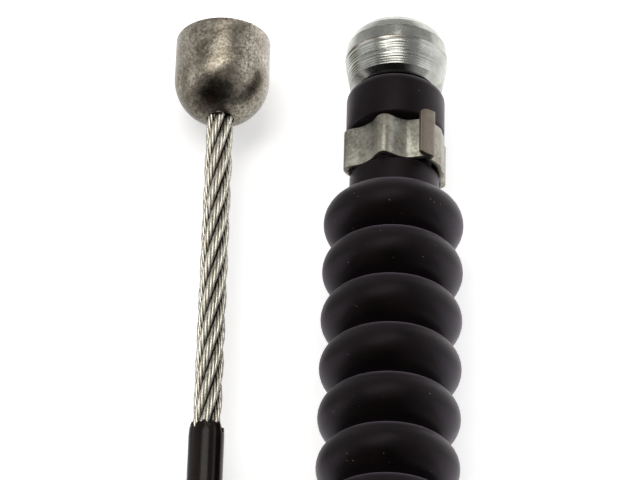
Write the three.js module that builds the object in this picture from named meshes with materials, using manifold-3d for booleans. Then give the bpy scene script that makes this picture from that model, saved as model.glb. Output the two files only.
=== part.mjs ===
// A parking brake cable, put away as a coil, with its two ends side by side: the barrel nipple on bare
// wire rope at the left, and the turned end fitting with its rubber bellows at the right.
// Millimetres, +Z up, both ends point along +Y, and the cable lies on the plane z = 0.
import * as THREE from "three";
import { mergeVertices } from "three/addons/utils/BufferGeometryUtils.js";
import Module from "manifold-3d";

const wasm = await Module();
wasm.setup();

// Clearances
const GAP = 0.3; // between pieces that touch
const ROPE_GAP = 0.08; // between a strand and the socket that holds it

// The laid rope: six strands round a core strand
const ROPE_DIAMETER = 3.0;
const ROPE_LAY_LENGTH = 24; // along the rope for one turn of a strand
const STRANDS = 6;
const STRAND_FILL = 0.96; // a strand's share of the room that it has
const ROPE_IN_NIPPLE = 4.5;
const ROPE_IN_COATING = 4;

// The plastic coating on the inner cable
const COATING_DIAMETER = 3.7;
const COATING_EDGE = 0.3;

// The barrel nipple: a short cylinder with a half-ball seat towards the rope
const NIPPLE_DIAMETER = 10.25;
const NIPPLE_BARREL = 4.95;
const NIPPLE_EDGE = 0.35;
const BARE_ROPE = 36.7; // from the nipple's seat to the coating

// The conduit, its liner and the steel ferrules on its ends
const CONDUIT_DIAMETER = 8;
const CONDUIT_IN_FERRULE = 8;
const LINER_WALL = 0.6;
const LINER_PROUD = 2;
const FERRULE_WALL = 0.8;
const FERRULE_BODY = 18;
const FERRULE_NOSE = 10;
const NOSE_WALL = 0.95;
const FERRULE_EDGE = 0.5;
const CRIMPS = 3;
const CRIMP_FIRST = 2;
const CRIMP_PITCH = 2.2;
const CRIMP_WIDTH = 1.1;
const CRIMP_DEPTH = 0.3;
const CUFF_BEAD = 0.4; // how far the rear ferrule's bead stands out of its nose
const CUFF_BEAD_WIDTH = 1.6;
const CUFF_BEAD_FROM_TIP = 4;

// The inner cable's travel in the conduit
const TRAVEL = 15;

// The rubber bellows
const BELLOWS_DIAMETER = 14.74;
const CONVOLUTIONS = 8;
const CONVOLUTION_PITCH = 5.73;
const VALLEY_DIAMETER = 9.2;
const CREST_SHARE = 0.985; // a convolution's round, against half the pitch
const CREST_ENDS_AT = 78; // degrees from the middle of a crest to where its round ends
const FIRST_CREST_FROM = -60;
const CREST_INSIDE_ENDS_AT = 60;
const RUBBER = 0.8;
const CUFF_LENGTH = 10.5;
const CUFF_WALL = 1.3;
const NECK_DIAMETER = 9.54;
const NECK_LENGTH = 2.71;
const COLLAR_DIAMETER = 10.5;
const COLLAR_LENGTH = 5.35;
const COLLAR_ROUND = 1.1;
const COLLAR_LOWER_EDGE = 0.5;

// The waved band clamp
const CLAMP_WIDTH = 4.65;
const CLAMP_SHEET = 0.55;
const CLAMP_RADIUS = 4.64; // of the middle of the sheet, half way between crest and hollow
const CLAMP_WAVE = 0.6;
const CREST_SHARP = 0.12; // what makes the crests narrower than the hollows
const CLAMP_WAVES = 6;
const CLAMP_CREST_AT = 15; // degrees from the top, towards the nipple's side
const CLAMP_STARTS_AT = -36;
const CLAMP_ENDS_AT = 337;
const CLAMP_FLARE = 0.5; // how far the inner end is pressed out under the ear
const CLAMP_FLARE_FROM = -14;
const CLAMP_FLARE_OVER = 16;
const CLAMP_LAP_FROM = 262; // where the outer end begins to climb to the lap
const CLAMP_LAP_RISE = 18;
const CLAMP_LAP_RADIUS = 5.2; // what the outer end keeps to from there to the ear
const EAR_FROM = 321; // where the outer end stands up as a flat ear
const EAR_RISE = 5; // degrees that the step up to the ear takes
const EAR_RADIUS = 6.35; // of the middle of its sheet
const EAR_MORE_BALL_SIDE = 0.5; // how much wider than the band the ear is
const EAR_MORE_BELLOWS_SIDE = 0.3;
const CLAMP_STEP = 5;

// The turned end fitting: a shank in the collar and a barrel-shaped ball
const SHANK_DIAMETER = 5.2;
const SHANK_PAST_CLAMP = 1.2;
const BALL_DIAMETER = 11.1;
const BALL_LENGTH = 7.35;
const BALL_FOOT_DIAMETER = 8.6;
const BALL_UNDERCUT = 0.7;
const BALL_UNDERCUT_DIAMETER = 10.0;
const BALL_CROWN_AT = 3.85;
const BALL_BAND_AT = 5.3;
const BALL_BAND_DIAMETER = 10.8;
const BALL_FACE_DIAMETER = 7.8;
const CROWN_SWELL = 0.05; // how far the crown and the shoulder stand out of straight cones
const SHOULDER_SWELL = 0.28;
const CABLE_IN_SHANK = 4;

// The room between the two ends
const AXES_APART = 18.6;

// The coil: turns side by side and on each other, held by ties
const COIL_CENTRE = [-1.12, -127.1];
const COIL_RADIUS = 42; // at the middle of the turns
const TURNS_WIDE = 2;
const TURNS_HIGH = 3;
const TIE_THICK = 1.1;
const TIE_WIDTH = 2.6;
const TIE_HEAD = 4.6;
const TIE_HEAD_DEEP = 3.2;
const TIE_TAIL = 9;
const TIES_AT = [215, 325];

// The conduit's two routes from its ferrules to the coil, in the part's own frame
const FRONT_ROUTE = [
  [-10.42, -40.1, 5.13],
  [-10.42, -47.8, 5.13],
  [-10.42, -59.8, 5.15],
  [-10.8, -64.5, 5.3],
  [-11.8, -69.1, 5.4],
  [-14.4, -75.7, 5.4],
];
const REAR_ROUTE = [
  [8.18, -40.1, 7.37],
  [8.18, -47.8, 7.37],
  [8.18, -53.8, 7.7],
  [8.2, -59.8, 8.7],
  [8.5, -64.5, 9.9],
  [9.5, -69.1, 11.1],
  [12.1, -75.7, 12.6],
];

// Sides of the round pieces
const ROUND = 28;
const SMALL_ROUND = 20;
const STRAND_SIDES = 8;
const STEPS_PER_LAY = 10;
const CONDUIT_SIDES = 10;
const COIL_SIDES = 42;

// Places along the two ends, counted from the plane where the conduit enters its ferrules
const ferruleTip = FERRULE_BODY + FERRULE_NOSE;
const cuffFoot = FERRULE_BODY + GAP;
const bellowsFoot = cuffFoot + CUFF_LENGTH;
const bellowsTop = bellowsFoot + CONVOLUTIONS * CONVOLUTION_PITCH;
const grooveFoot = bellowsTop + NECK_LENGTH;
const clampFoot = grooveFoot + GAP;
const collarFoot = clampFoot + CLAMP_WIDTH + GAP;
const collarTop = collarFoot + COLLAR_LENGTH;
const ballFoot = collarTop + GAP;
const ballFace = ballFoot + BALL_LENGTH;
const nippleFace = ballFace;
const seatCentre = nippleFace - NIPPLE_BARREL;
const seatFoot = seatCentre - NIPPLE_DIAMETER / 2;
const coatingTop = seatFoot - BARE_ROPE;

// Radii that follow from others
const strandRadius = (STRAND_FILL * ROPE_DIAMETER) / 6;
const strandAt = ROPE_DIAMETER / 3;
const socketRadius = strandAt + strandRadius + ROPE_GAP;
const coatingRadius = COATING_DIAMETER / 2;
const linerBore = coatingRadius + GAP;
const linerRadius = linerBore + LINER_WALL;
const ferruleBore = linerRadius + GAP;
const noseRadius = ferruleBore + NOSE_WALL;
const conduitSocket = CONDUIT_DIAMETER / 2 + GAP;
const ferruleRadius = conduitSocket + FERRULE_WALL;
const cuffBore = noseRadius + GAP;
const collarBore = SHANK_DIAMETER / 2 + GAP;
const grooveRadius = CLAMP_RADIUS - CLAMP_WAVE - CLAMP_SHEET / 2 - GAP;

// Where the two axes lie
const leftRadius = Math.max(NIPPLE_DIAMETER / 2, ferruleRadius);
const rightRadius = BELLOWS_DIAMETER / 2;
const leftX = -(AXES_APART + rightRadius - leftRadius) / 2;
const rightX = leftX + AXES_APART;

const degrees = Math.PI / 180;

// Materials, coloured as the photograph shows them
const finish = (color, metalness, roughness) =>
  new THREE.MeshStandardMaterial({ color, metalness, roughness });
const castZinc = finish(0x9a9085, 0.9, 0.45);
const wire = finish(0xb9b3a8, 1, 0.35);
const turnedSteel = finish(0xb4b5ae, 1, 0.3);
const platedSteel = finish(0xa3a39b, 1, 0.4);
const bandSteel = finish(0x85857a, 0.9, 0.45);
const coating = finish(0x17110f, 0, 0.3);
const rubber = finish(0x141113, 0, 0.5);
const jacket = finish(0x161617, 0, 0.55);
const liner = finish(0xd8d4c8, 0, 0.5);
const tiePlastic = finish(0x1b1b1c, 0, 0.45);

function solidOf(geometry) {
  const plain = geometry.index ? geometry.toNonIndexed() : geometry.clone();
  plain.deleteAttribute("normal");
  plain.deleteAttribute("uv");
  const merged = mergeVertices(plain, 1e-3);
  return new wasm.Manifold(
    new wasm.Mesh({
      numProp: 3,
      vertProperties: merged.attributes.position.array,
      triVerts: new Uint32Array(merged.index.array),
    }),
  );
}

function geometryOf(solid) {
  const mesh = solid.getMesh();
  const geometry = new THREE.BufferGeometry();
  geometry.setAttribute("position", new THREE.BufferAttribute(mesh.vertProperties, 3));
  geometry.setIndex(new THREE.BufferAttribute(mesh.triVerts, 1));
  const flat = geometry.toNonIndexed();
  flat.computeVertexNormals();
  return flat;
}

// Solid turned about +Y from [radius, height] corners, its outside going up and its inside coming down
function turned(corners, sides) {
  return new THREE.LatheGeometry(
    corners.map(([radius, height]) => new THREE.Vector2(radius, height)),
    sides,
  );
}

// Corners of a round arc about [radius, height], between two angles from the outward direction
function arc(radius, height, size, from, to, steps) {
  return Array.from({ length: steps + 1 }, (_, i) => {
    const angle = (from + ((to - from) * i) / steps) * degrees;
    return [radius + size * Math.cos(angle), height + size * Math.sin(angle)];
  });
}

// Outline pushed along +Y from `from`, its own x and y becoming x and z
function pushed(shape, from, length) {
  return new THREE.ExtrudeGeometry(shape, { depth: length, bevelEnabled: false, curveSegments: 3 })
    .rotateX(Math.PI / 2)
    .translate(0, from + length, 0);
}

function polygon(sides, radius) {
  return new THREE.Shape(
    Array.from({ length: sides }, (_, i) => {
      const angle = (2 * Math.PI * i) / sides;
      return new THREE.Vector2(radius * Math.cos(angle), radius * Math.sin(angle));
    }),
  );
}

function piece(name, geometry, material) {
  const mesh = new THREE.Mesh(geometry, material);
  mesh.name = name;
  return mesh;
}

function nipple() {
  const radius = NIPPLE_DIAMETER / 2;
  const mouth = Math.acos(socketRadius / radius) / degrees;
  return piece(
    "nipple",
    turned(
      [
        [0, seatFoot + ROPE_IN_NIPPLE],
        [socketRadius, seatFoot + ROPE_IN_NIPPLE],
        ...arc(0, seatCentre, radius, -mouth, 0, 7),
        ...arc(radius - NIPPLE_EDGE, nippleFace - NIPPLE_EDGE, NIPPLE_EDGE, 0, 90, 2),
        [0, nippleFace],
      ],
      ROUND,
    ),
    castZinc,
  );
}

const ropeFoot = coatingTop - ROPE_IN_COATING + GAP;
const ropeTop = seatFoot + ROPE_IN_NIPPLE - GAP;

class Helix extends THREE.Curve {
  constructor(start) {
    super();
    this.start = start;
  }
  getPoint(t) {
    const height = ropeFoot + t * (ropeTop - ropeFoot);
    const angle = this.start - (2 * Math.PI * height) / ROPE_LAY_LENGTH;
    return new THREE.Vector3(strandAt * Math.cos(angle), height, strandAt * Math.sin(angle));
  }
}

function strand(i) {
  return piece(
    `rope_strand_${i + 1}`,
    new THREE.ExtrudeGeometry(polygon(STRAND_SIDES, strandRadius), {
      steps: Math.round(((ropeTop - ropeFoot) / ROPE_LAY_LENGTH) * STEPS_PER_LAY),
      extrudePath: new Helix((2 * Math.PI * i) / STRANDS),
      bevelEnabled: false,
    }),
    wire,
  );
}

function ropeCore() {
  return piece(
    "rope_core",
    turned(
      [
        [0, ropeFoot],
        [strandRadius, ropeFoot],
        [strandRadius, ropeTop],
        [0, ropeTop],
      ],
      STRAND_SIDES,
    ),
    wire,
  );
}

// The coated inner cable at the front: the bare rope stands in a socket in its end
function frontInnerCable() {
  const foot = CONDUIT_IN_FERRULE + 2 * GAP;
  return piece(
    "inner_cable_front",
    turned(
      [
        [0, foot],
        [coatingRadius, foot],
        [coatingRadius, coatingTop - COATING_EDGE],
        [(coatingRadius + socketRadius) / 2, coatingTop],
        [socketRadius, coatingTop - COATING_EDGE / 2],
        [socketRadius, coatingTop - ROPE_IN_COATING],
        [0, coatingTop - ROPE_IN_COATING],
      ],
      SMALL_ROUND,
    ),
    coating,
  );
}

function rearInnerCable() {
  const foot = CONDUIT_IN_FERRULE + 2 * GAP + TRAVEL;
  const top = clampFoot - SHANK_PAST_CLAMP + CABLE_IN_SHANK - GAP;
  return piece(
    "inner_cable_rear",
    turned(
      [
        [0, foot],
        [coatingRadius, foot],
        [coatingRadius, top],
        [0, top],
      ],
      SMALL_ROUND,
    ),
    coating,
  );
}

// One crimped groove round a ferrule's body
function crimp(i) {
  const foot = CRIMP_FIRST + i * CRIMP_PITCH;
  return [
    [ferruleRadius, foot],
    [ferruleRadius - CRIMP_DEPTH, foot + CRIMP_WIDTH / 3],
    [ferruleRadius - CRIMP_DEPTH, foot + (2 * CRIMP_WIDTH) / 3],
    [ferruleRadius, foot + CRIMP_WIDTH],
  ];
}

function bead() {
  const foot = ferruleTip - CUFF_BEAD_FROM_TIP - CUFF_BEAD_WIDTH;
  return [
    [noseRadius, foot],
    [noseRadius + CUFF_BEAD, foot + CUFF_BEAD_WIDTH / 2],
    [noseRadius, foot + CUFF_BEAD_WIDTH],
  ];
}

function ferrule(name, onNose) {
  return piece(
    name,
    turned(
      [
        [conduitSocket, 0],
        [ferruleRadius - FERRULE_EDGE, 0],
        [ferruleRadius, FERRULE_EDGE],
        ...Array.from({ length: CRIMPS }, (_, i) => crimp(i)).flat(),
        [ferruleRadius, FERRULE_BODY - FERRULE_EDGE],
        [ferruleRadius - FERRULE_EDGE / 2, FERRULE_BODY],
        [noseRadius, FERRULE_BODY],
        ...onNose,
        [noseRadius, ferruleTip - FERRULE_EDGE],
        [noseRadius - FERRULE_EDGE, ferruleTip],
        [ferruleBore, ferruleTip],
        [ferruleBore, CONDUIT_IN_FERRULE],
        [conduitSocket, CONDUIT_IN_FERRULE],
        [conduitSocket, 0],
      ],
      SMALL_ROUND,
    ),
    platedSteel,
  );
}

function linerEnd(name) {
  const foot = CONDUIT_IN_FERRULE + GAP;
  const top = ferruleTip + LINER_PROUD;
  return piece(
    name,
    turned(
      [
        [linerBore, foot],
        [linerRadius, foot],
        [linerRadius, top],
        [linerBore, top],
        [linerBore, foot],
      ],
      SMALL_ROUND,
    ),
    liner,
  );
}

const convolutionMiddle = (i) => bellowsFoot + (i + 0.5) * CONVOLUTION_PITCH;
const convolutionRound = (CONVOLUTION_PITCH / 2) * CREST_SHARE;

// Outside of one convolution, from hollow to hollow
function convolution(i) {
  const middle = convolutionMiddle(i);
  const from = i === 0 ? FIRST_CREST_FROM : -CREST_ENDS_AT;
  const middleRadius = BELLOWS_DIAMETER / 2 - convolutionRound;
  const outside = arc(middleRadius, middle, convolutionRound, from, CREST_ENDS_AT, 6);
  const hollow = [VALLEY_DIAMETER / 2, middle + CONVOLUTION_PITCH / 2];
  return i === CONVOLUTIONS - 1 ? outside : [...outside, hollow];
}

// The same wall's inside, coming down
function convolutionInside(i) {
  const middle = convolutionMiddle(i);
  const size = convolutionRound - RUBBER;
  const middleRadius = BELLOWS_DIAMETER / 2 - convolutionRound;
  const inside = arc(middleRadius, middle, size, CREST_INSIDE_ENDS_AT, -CREST_INSIDE_ENDS_AT, 2);
  const hollow = [VALLEY_DIAMETER / 2 - RUBBER, middle + CONVOLUTION_PITCH / 2];
  return i === CONVOLUTIONS - 1 ? inside : [hollow, ...inside];
}

function bellows() {
  const cuffRadius = cuffBore + CUFF_WALL;
  const neckRadius = NECK_DIAMETER / 2;
  const collarRadius = COLLAR_DIAMETER / 2;
  const beadMiddle = ferruleTip - CUFF_BEAD_FROM_TIP - CUFF_BEAD_WIDTH / 2;
  const beadRoom = CUFF_BEAD_WIDTH / 2 + GAP;
  const numbers = Array.from({ length: CONVOLUTIONS }, (_, i) => i);
  return piece(
    "bellows",
    turned(
      [
        [cuffBore, cuffFoot],
        [cuffRadius - FERRULE_EDGE, cuffFoot],
        [cuffRadius, cuffFoot + FERRULE_EDGE],
        [cuffRadius, bellowsFoot],
        ...numbers.flatMap(convolution),
        [neckRadius, bellowsTop + RUBBER / 2],
        [neckRadius, grooveFoot],
        [grooveRadius, grooveFoot],
        [grooveRadius, collarFoot],
        [collarRadius - COLLAR_LOWER_EDGE, collarFoot],
        [collarRadius, collarFoot + COLLAR_LOWER_EDGE],
        ...arc(collarRadius - COLLAR_ROUND, collarTop - COLLAR_ROUND, COLLAR_ROUND, 0, 90, 3),
        [collarBore, collarTop],
        [collarBore, grooveFoot],
        [neckRadius - 2 * RUBBER, bellowsTop],
        ...numbers.toReversed().flatMap(convolutionInside),
        [cuffBore, bellowsFoot],
        [cuffBore, beadMiddle + beadRoom],
        [cuffBore + CUFF_BEAD, beadMiddle],
        [cuffBore, beadMiddle - beadRoom],
        [cuffBore, cuffFoot],
      ],
      ROUND,
    ),
    rubber,
  );
}

// Middle of the clamp's sheet at an angle from the top
function clampRadius(angle) {
  const { clamp, lerp, smoothstep } = THREE.MathUtils;
  const phase = CLAMP_WAVES * (angle - CLAMP_CREST_AT) * degrees;
  const flare = smoothstep(CLAMP_FLARE_FROM - angle, 0, CLAMP_FLARE_OVER) * CLAMP_FLARE;
  const wave = CLAMP_WAVE * Math.cos(phase) + CREST_SHARP * Math.cos(2 * phase) + flare;
  const climb = smoothstep(angle, CLAMP_LAP_FROM, CLAMP_LAP_FROM + CLAMP_LAP_RISE);
  const laid = CLAMP_RADIUS + wave + climb * (CLAMP_SHEET + GAP);
  const held = angle > CLAMP_LAP_FROM ? Math.min(laid, CLAMP_LAP_RADIUS) : laid;
  return lerp(held, EAR_RADIUS, clamp((angle - EAR_FROM + EAR_RISE) / EAR_RISE, 0, 1));
}

function strip(from, to) {
  const count = Math.round((to - from) / CLAMP_STEP);
  const edge = (side) =>
    Array.from({ length: count + 1 }, (_, i) => {
      const angle = from + ((to - from) * i) / count;
      const radius = clampRadius(angle) + (side * CLAMP_SHEET) / 2;
      return new THREE.Vector2(-radius * Math.sin(angle * degrees), radius * Math.cos(angle * degrees));
    });
  return new THREE.Shape([...edge(1), ...edge(-1).reverse()]);
}

function bandClamp() {
  const band = pushed(strip(CLAMP_STARTS_AT, CLAMP_ENDS_AT), clampFoot, CLAMP_WIDTH);
  const ear = pushed(
    strip(EAR_FROM, CLAMP_ENDS_AT),
    clampFoot - EAR_MORE_BELLOWS_SIDE,
    CLAMP_WIDTH + EAR_MORE_BELLOWS_SIDE + EAR_MORE_BALL_SIDE,
  );
  return piece("band_clamp", geometryOf(solidOf(band).add(solidOf(ear))), bandSteel);
}

function endFitting() {
  const shank = SHANK_DIAMETER / 2;
  const foot = clampFoot - SHANK_PAST_CLAMP;
  const crownHalfWay = (BALL_UNDERCUT_DIAMETER + BALL_DIAMETER) / 4 + CROWN_SWELL;
  const shoulderHalfWay = (BALL_BAND_DIAMETER + BALL_FACE_DIAMETER) / 4 + SHOULDER_SWELL;
  return piece(
    "end_fitting",
    turned(
      [
        [0, foot + CABLE_IN_SHANK],
        [coatingRadius + ROPE_GAP, foot + CABLE_IN_SHANK],
        [coatingRadius + ROPE_GAP, foot],
        [shank, foot],
        [shank, ballFoot],
        [BALL_FOOT_DIAMETER / 2, ballFoot],
        [BALL_UNDERCUT_DIAMETER / 2, ballFoot + BALL_UNDERCUT],
        [crownHalfWay, ballFoot + (BALL_UNDERCUT + BALL_CROWN_AT) / 2],
        [BALL_DIAMETER / 2, ballFoot + BALL_CROWN_AT],
        [BALL_BAND_DIAMETER / 2, ballFoot + BALL_BAND_AT],
        [shoulderHalfWay, (ballFoot + BALL_BAND_AT + ballFace) / 2],
        [BALL_FACE_DIAMETER / 2, ballFace],
        [0, ballFace],
      ],
      ROUND,
    ),
    turnedSteel,
  );
}

function conduitRun(name, route) {
  const path = new THREE.CatmullRomCurve3(route.map((point) => new THREE.Vector3(...point)));
  return piece(
    name,
    new THREE.ExtrudeGeometry(polygon(CONDUIT_SIDES, CONDUIT_DIAMETER / 2), {
      steps: route.length + 1,
      extrudePath: path,
      bevelEnabled: false,
    }),
    jacket,
  );
}

const bundleWidth = TURNS_WIDE * CONDUIT_DIAMETER;
const bundleHeight = TURNS_HIGH * CONDUIT_DIAMETER;
const coilFoot = TIE_THICK + GAP;
const coilMiddle = coilFoot + bundleHeight / 2;

const QUARTER = 90; // degrees

// Outline of the bundle of turns, a margin larger all round, about its middle
function bundle(margin) {
  const half = [bundleWidth / 2 + margin, bundleHeight / 2 + margin];
  const round = CONDUIT_DIAMETER / 2 + margin;
  const corner = (side, up, from) =>
    arc(side * (half[0] - round), up * (half[1] - round), round, from, from + QUARTER, 3);
  return [
    ...corner(1, -1, -QUARTER),
    ...corner(1, 1, 0),
    ...corner(-1, 1, QUARTER),
    ...corner(-1, -1, 2 * QUARTER),
  ];
}

function coil() {
  const outline = bundle(0).map(([radius, height]) => [COIL_RADIUS + radius, height]);
  const ring = turned([...outline, outline[0]], COIL_SIDES).rotateX(Math.PI / 2);
  return piece("conduit_coil", ring.translate(...COIL_CENTRE, coilMiddle), jacket);
}

function tie(i) {
  const outline = (margin) => bundle(margin).map(([x, y]) => new THREE.Vector2(x, y));
  const loop = new THREE.Shape(outline(GAP + TIE_THICK));
  loop.holes.push(new THREE.Path(outline(GAP)));
  const side = bundleWidth / 2 + GAP + TIE_THICK;
  const head = new THREE.BoxGeometry(TIE_HEAD_DEEP, TIE_HEAD, TIE_HEAD);
  const tail = new THREE.BoxGeometry(TIE_THICK, TIE_WIDTH, TIE_TAIL);
  const solid = solidOf(pushed(loop, -TIE_WIDTH / 2, TIE_WIDTH))
    .add(solidOf(head.translate(side + TIE_HEAD_DEEP / 2 - TIE_THICK / 2, 0, 0)))
    .add(solidOf(tail.translate(side + TIE_HEAD_DEEP / 2, 0, TIE_TAIL / 2)));
  const mesh = piece(`coil_tie_${i + 1}`, geometryOf(solid), tiePlastic);
  const angle = TIES_AT[i] * degrees;
  mesh.rotation.z = angle;
  mesh.position.set(
    COIL_CENTRE[0] + COIL_RADIUS * Math.cos(angle),
    COIL_CENTRE[1] + COIL_RADIUS * Math.sin(angle),
    coilMiddle,
  );
  return mesh;
}

const frontEnd = new THREE.Group();
frontEnd.position.set(leftX, -nippleFace / 2, leftRadius);
frontEnd.add(
  nipple(),
  ropeCore(),
  ...Array.from({ length: STRANDS }, (_, i) => strand(i)),
  frontInnerCable(),
  linerEnd("liner_front"),
  ferrule("ferrule_front", []),
);

const rearEnd = new THREE.Group();
rearEnd.position.set(rightX, -nippleFace / 2, rightRadius);
rearEnd.add(
  endFitting(),
  bandClamp(),
  bellows(),
  rearInnerCable(),
  linerEnd("liner_rear"),
  ferrule("ferrule_rear", bead()),
);

const cable = new THREE.Group();
cable.add(
  frontEnd,
  rearEnd,
  conduitRun("conduit_front", FRONT_ROUTE),
  conduitRun("conduit_rear", REAR_ROUTE),
  coil(),
  ...TIES_AT.map((_, i) => tie(i)),
);

export default cable;
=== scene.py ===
# %% [markdown]
# # A parking brake cable in Blender
# This lesson dresses a parking brake cable whose solids come ready made. Its two ends lie side by side,
# and the rest of it is wound into a coil behind them. We make the camera and the light, lay the cable,
# model each piece of the two ends finer than its solid, and give every surface the finish that the
# real one has.

import math
import random

import bmesh
import bpy
from mathutils import Matrix, Vector, noise


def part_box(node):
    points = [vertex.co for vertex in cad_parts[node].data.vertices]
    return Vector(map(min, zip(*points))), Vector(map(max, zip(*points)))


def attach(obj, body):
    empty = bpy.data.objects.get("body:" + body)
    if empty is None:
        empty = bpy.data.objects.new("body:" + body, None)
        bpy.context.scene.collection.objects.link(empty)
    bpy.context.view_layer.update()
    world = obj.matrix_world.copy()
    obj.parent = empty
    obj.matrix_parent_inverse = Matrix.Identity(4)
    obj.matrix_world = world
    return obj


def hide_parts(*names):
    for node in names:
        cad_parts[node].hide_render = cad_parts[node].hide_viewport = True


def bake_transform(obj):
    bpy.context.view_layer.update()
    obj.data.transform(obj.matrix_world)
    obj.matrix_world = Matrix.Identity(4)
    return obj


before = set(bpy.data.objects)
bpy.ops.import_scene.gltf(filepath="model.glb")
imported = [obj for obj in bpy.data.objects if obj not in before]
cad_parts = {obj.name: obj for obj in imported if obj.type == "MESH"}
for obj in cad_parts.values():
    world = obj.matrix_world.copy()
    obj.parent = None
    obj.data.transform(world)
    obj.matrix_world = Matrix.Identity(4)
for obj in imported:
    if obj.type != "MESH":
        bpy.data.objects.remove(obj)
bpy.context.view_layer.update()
MM = 0.001

# %% [markdown]
# ## The camera
# The photograph looks down on the two ends at a steep angle, from far off and through a long lens, so
# that the ends hardly narrow with distance. The two ends lean a little to the right in the picture,
# which is the camera's own roll. The angles were worked out from the rings of the bellows, because a
# ring of known size shows its tilt in how far its front bulges up the picture.

# %% The camera
LOOK_AT = Vector((0.665, 26.24, 0.0)) * MM
ELEVATION = 60.05  # degrees above the floor
DISTANCE = 415.9 * MM
NEAREST = 10 * MM  # nothing closer to the camera is drawn
FOCAL_PIXELS = 3878
PHOTO_WIDTH = 640
SENSOR = 36  # millimetres, as Blender counts it
ROLL = 1.62


def link(name, data):
    """A new object of that mesh, curve, lamp or camera, at the origin."""
    made = bpy.data.objects.new(name, data)
    bpy.context.collection.objects.link(made)
    return made


def make_camera():
    data = bpy.data.cameras.new("photo_camera")
    data.sensor_width = SENSOR
    data.lens = FOCAL_PIXELS * SENSOR / PHOTO_WIDTH
    data.clip_start = NEAREST
    camera = link("photo_camera", data)
    tilt = Matrix.Rotation(math.radians(90 - ELEVATION), 4, "X")
    turn = tilt @ Matrix.Rotation(math.radians(ROLL), 4, "Z")
    back = tilt @ Vector((0, 0, 1))
    camera.matrix_world = Matrix.Translation(LOOK_AT + back * DISTANCE) @ turn
    bpy.context.scene.camera = camera
    return camera


camera = make_camera()
print("camera at", [round(c, 3) for c in camera.matrix_world.translation])

# %% [markdown]
# ## The conduit
# The conduit is the stiff outer cable: a wound steel wire under a black plastic jacket. All of it,
# 1.64 m, lies outside the picture, so it is wound into a coil, as it is for a shelf. Turns lie side by
# side and on each other, one thickness apart. We compute the turns with a loop and let each one slip
# to the next track over a third of a turn, which is how a cable wanders when it is wound.

# %% The route of the conduit
CONDUIT = 8.0  # its diameter in millimetres
COIL_CENTRE = (-1.12, -127.1)
COIL_RADIUS = 42.0
COIL_FOOT = 1.4
OUTER, INNER = 1, -1
TOP_LAYER = 2
TRACKS = [  # side and layer of each turn, in the order in which they are wound
    (OUTER, 0),
    (INNER, 0),
    (INNER, 1),
    (INNER, TOP_LAYER),
    (OUTER, TOP_LAYER),
    (OUTER, 1),
]
ENTERS_AT = 122.8
LEAVES_AT = 57.2
SLIPS_AT = 90  # degrees round the coil, the middle of every change of track
SLIP = 110.0  # degrees that a turn takes to change its track
SWELL = 1.5  # how far a slipping turn stands off its neighbours
TURN_STEPS = 18
FRONT_LEAD = [
    (-10.42, -40.1, 5.13),
    (-10.42, -47.8, 5.13),
    (-10.42, -59.8, 5.15),
    (-10.8, -64.5, 5.3),
    (-11.8, -69.1, 5.4),
    (-14.4, -75.7, 5.4),
    (-18.4, -81.9, 5.4),
    (-22.2, -85.6, 5.4),
]
REAR_LEAD = [
    (8.18, -40.1, 7.37),
    (8.18, -47.8, 7.37),
    (8.18, -53.8, 7.7),
    (8.2, -59.8, 8.7),
    (8.5, -64.5, 9.9),
    (9.5, -69.1, 11.1),
    (12.1, -75.7, 12.6),
    (16.1, -81.9, 13.3),
    (19.9, -85.6, 13.4),
]


def smooth(share):
    share = min(max(share, 0.0), 1.0)
    return share * share * (3 - 2 * share)


def on_coil(angle):
    """The cable's middle at an angle in degrees, counted on from where it enters the coil."""
    turn = min(int((angle - SLIPS_AT + SLIP / 2) // 360), len(TRACKS) - 1)
    side, layer = TRACKS[max(turn, 0)]
    begins = SLIPS_AT - SLIP / 2 + 360 * turn
    share = (angle - begins) / SLIP if turn > 0 else 1.0
    swell_in = swell_up = 0.0
    if turn > 0 and share < 1:
        last_side, last_layer = TRACKS[turn - 1]
        along = smooth(share)
        swell = SWELL * math.sin(math.pi * share)
        swell_in = swell if last_side == side == INNER else 0.0
        swell_up = swell if last_layer == layer == TOP_LAYER else 0.0
        side = last_side + (side - last_side) * along
        layer = last_layer + (layer - last_layer) * along
    radius = COIL_RADIUS + side * CONDUIT / 2 - swell_in
    height = COIL_FOOT + CONDUIT / 2 + layer * CONDUIT + swell_up
    turned_by = math.radians(angle)
    return (
        COIL_CENTRE[0] + radius * math.cos(turned_by),
        COIL_CENTRE[1] + radius * math.sin(turned_by),
        height,
    )


def coil_points():
    total = 360 * len(TRACKS) - (ENTERS_AT - LEAVES_AT)
    steps = round(total / 360 * TURN_STEPS)
    return [on_coil(ENTERS_AT + total * i / steps) for i in range(steps + 1)]


route = [*FRONT_LEAD, *coil_points(), *REAR_LEAD[::-1]]
print(len(route), "points along the conduit")

# %% [markdown]
# ## The conduit as a curve
# A cable is best drawn as a curve: its knots carry automatic handles, so it runs smoothly through the
# route, and a round bevel gives it its thickness. Knots about fifteen millimetres apart are enough for
# even turns. The ends are capped, because each of them is pushed into a ferrule.

# %% The conduit as a smooth tube
ROUNDNESS = 5  # the bevel's resolution, here a section of fourteen sides
KNOT_STEPS = 6  # straight pieces from one knot to the next


def tube(name, points, diameter):
    data = bpy.data.curves.new(name, "CURVE")
    data.dimensions = "3D"
    data.bevel_depth = 1.0  # the knots' radius gives the thickness
    data.bevel_resolution = ROUNDNESS
    data.resolution_u = KNOT_STEPS
    data.use_fill_caps = True
    spline = data.splines.new("BEZIER")
    spline.bezier_points.add(len(points) - 1)
    for knot, point in zip(spline.bezier_points, points):
        knot.co = Vector(point) * MM
        knot.radius = diameter / 2 * MM
        knot.handle_left_type = knot.handle_right_type = "AUTO"
    return link(name, data)


def length_of(spline_object):
    return sum(spline.calc_length() for spline in spline_object.data.splines)


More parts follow.
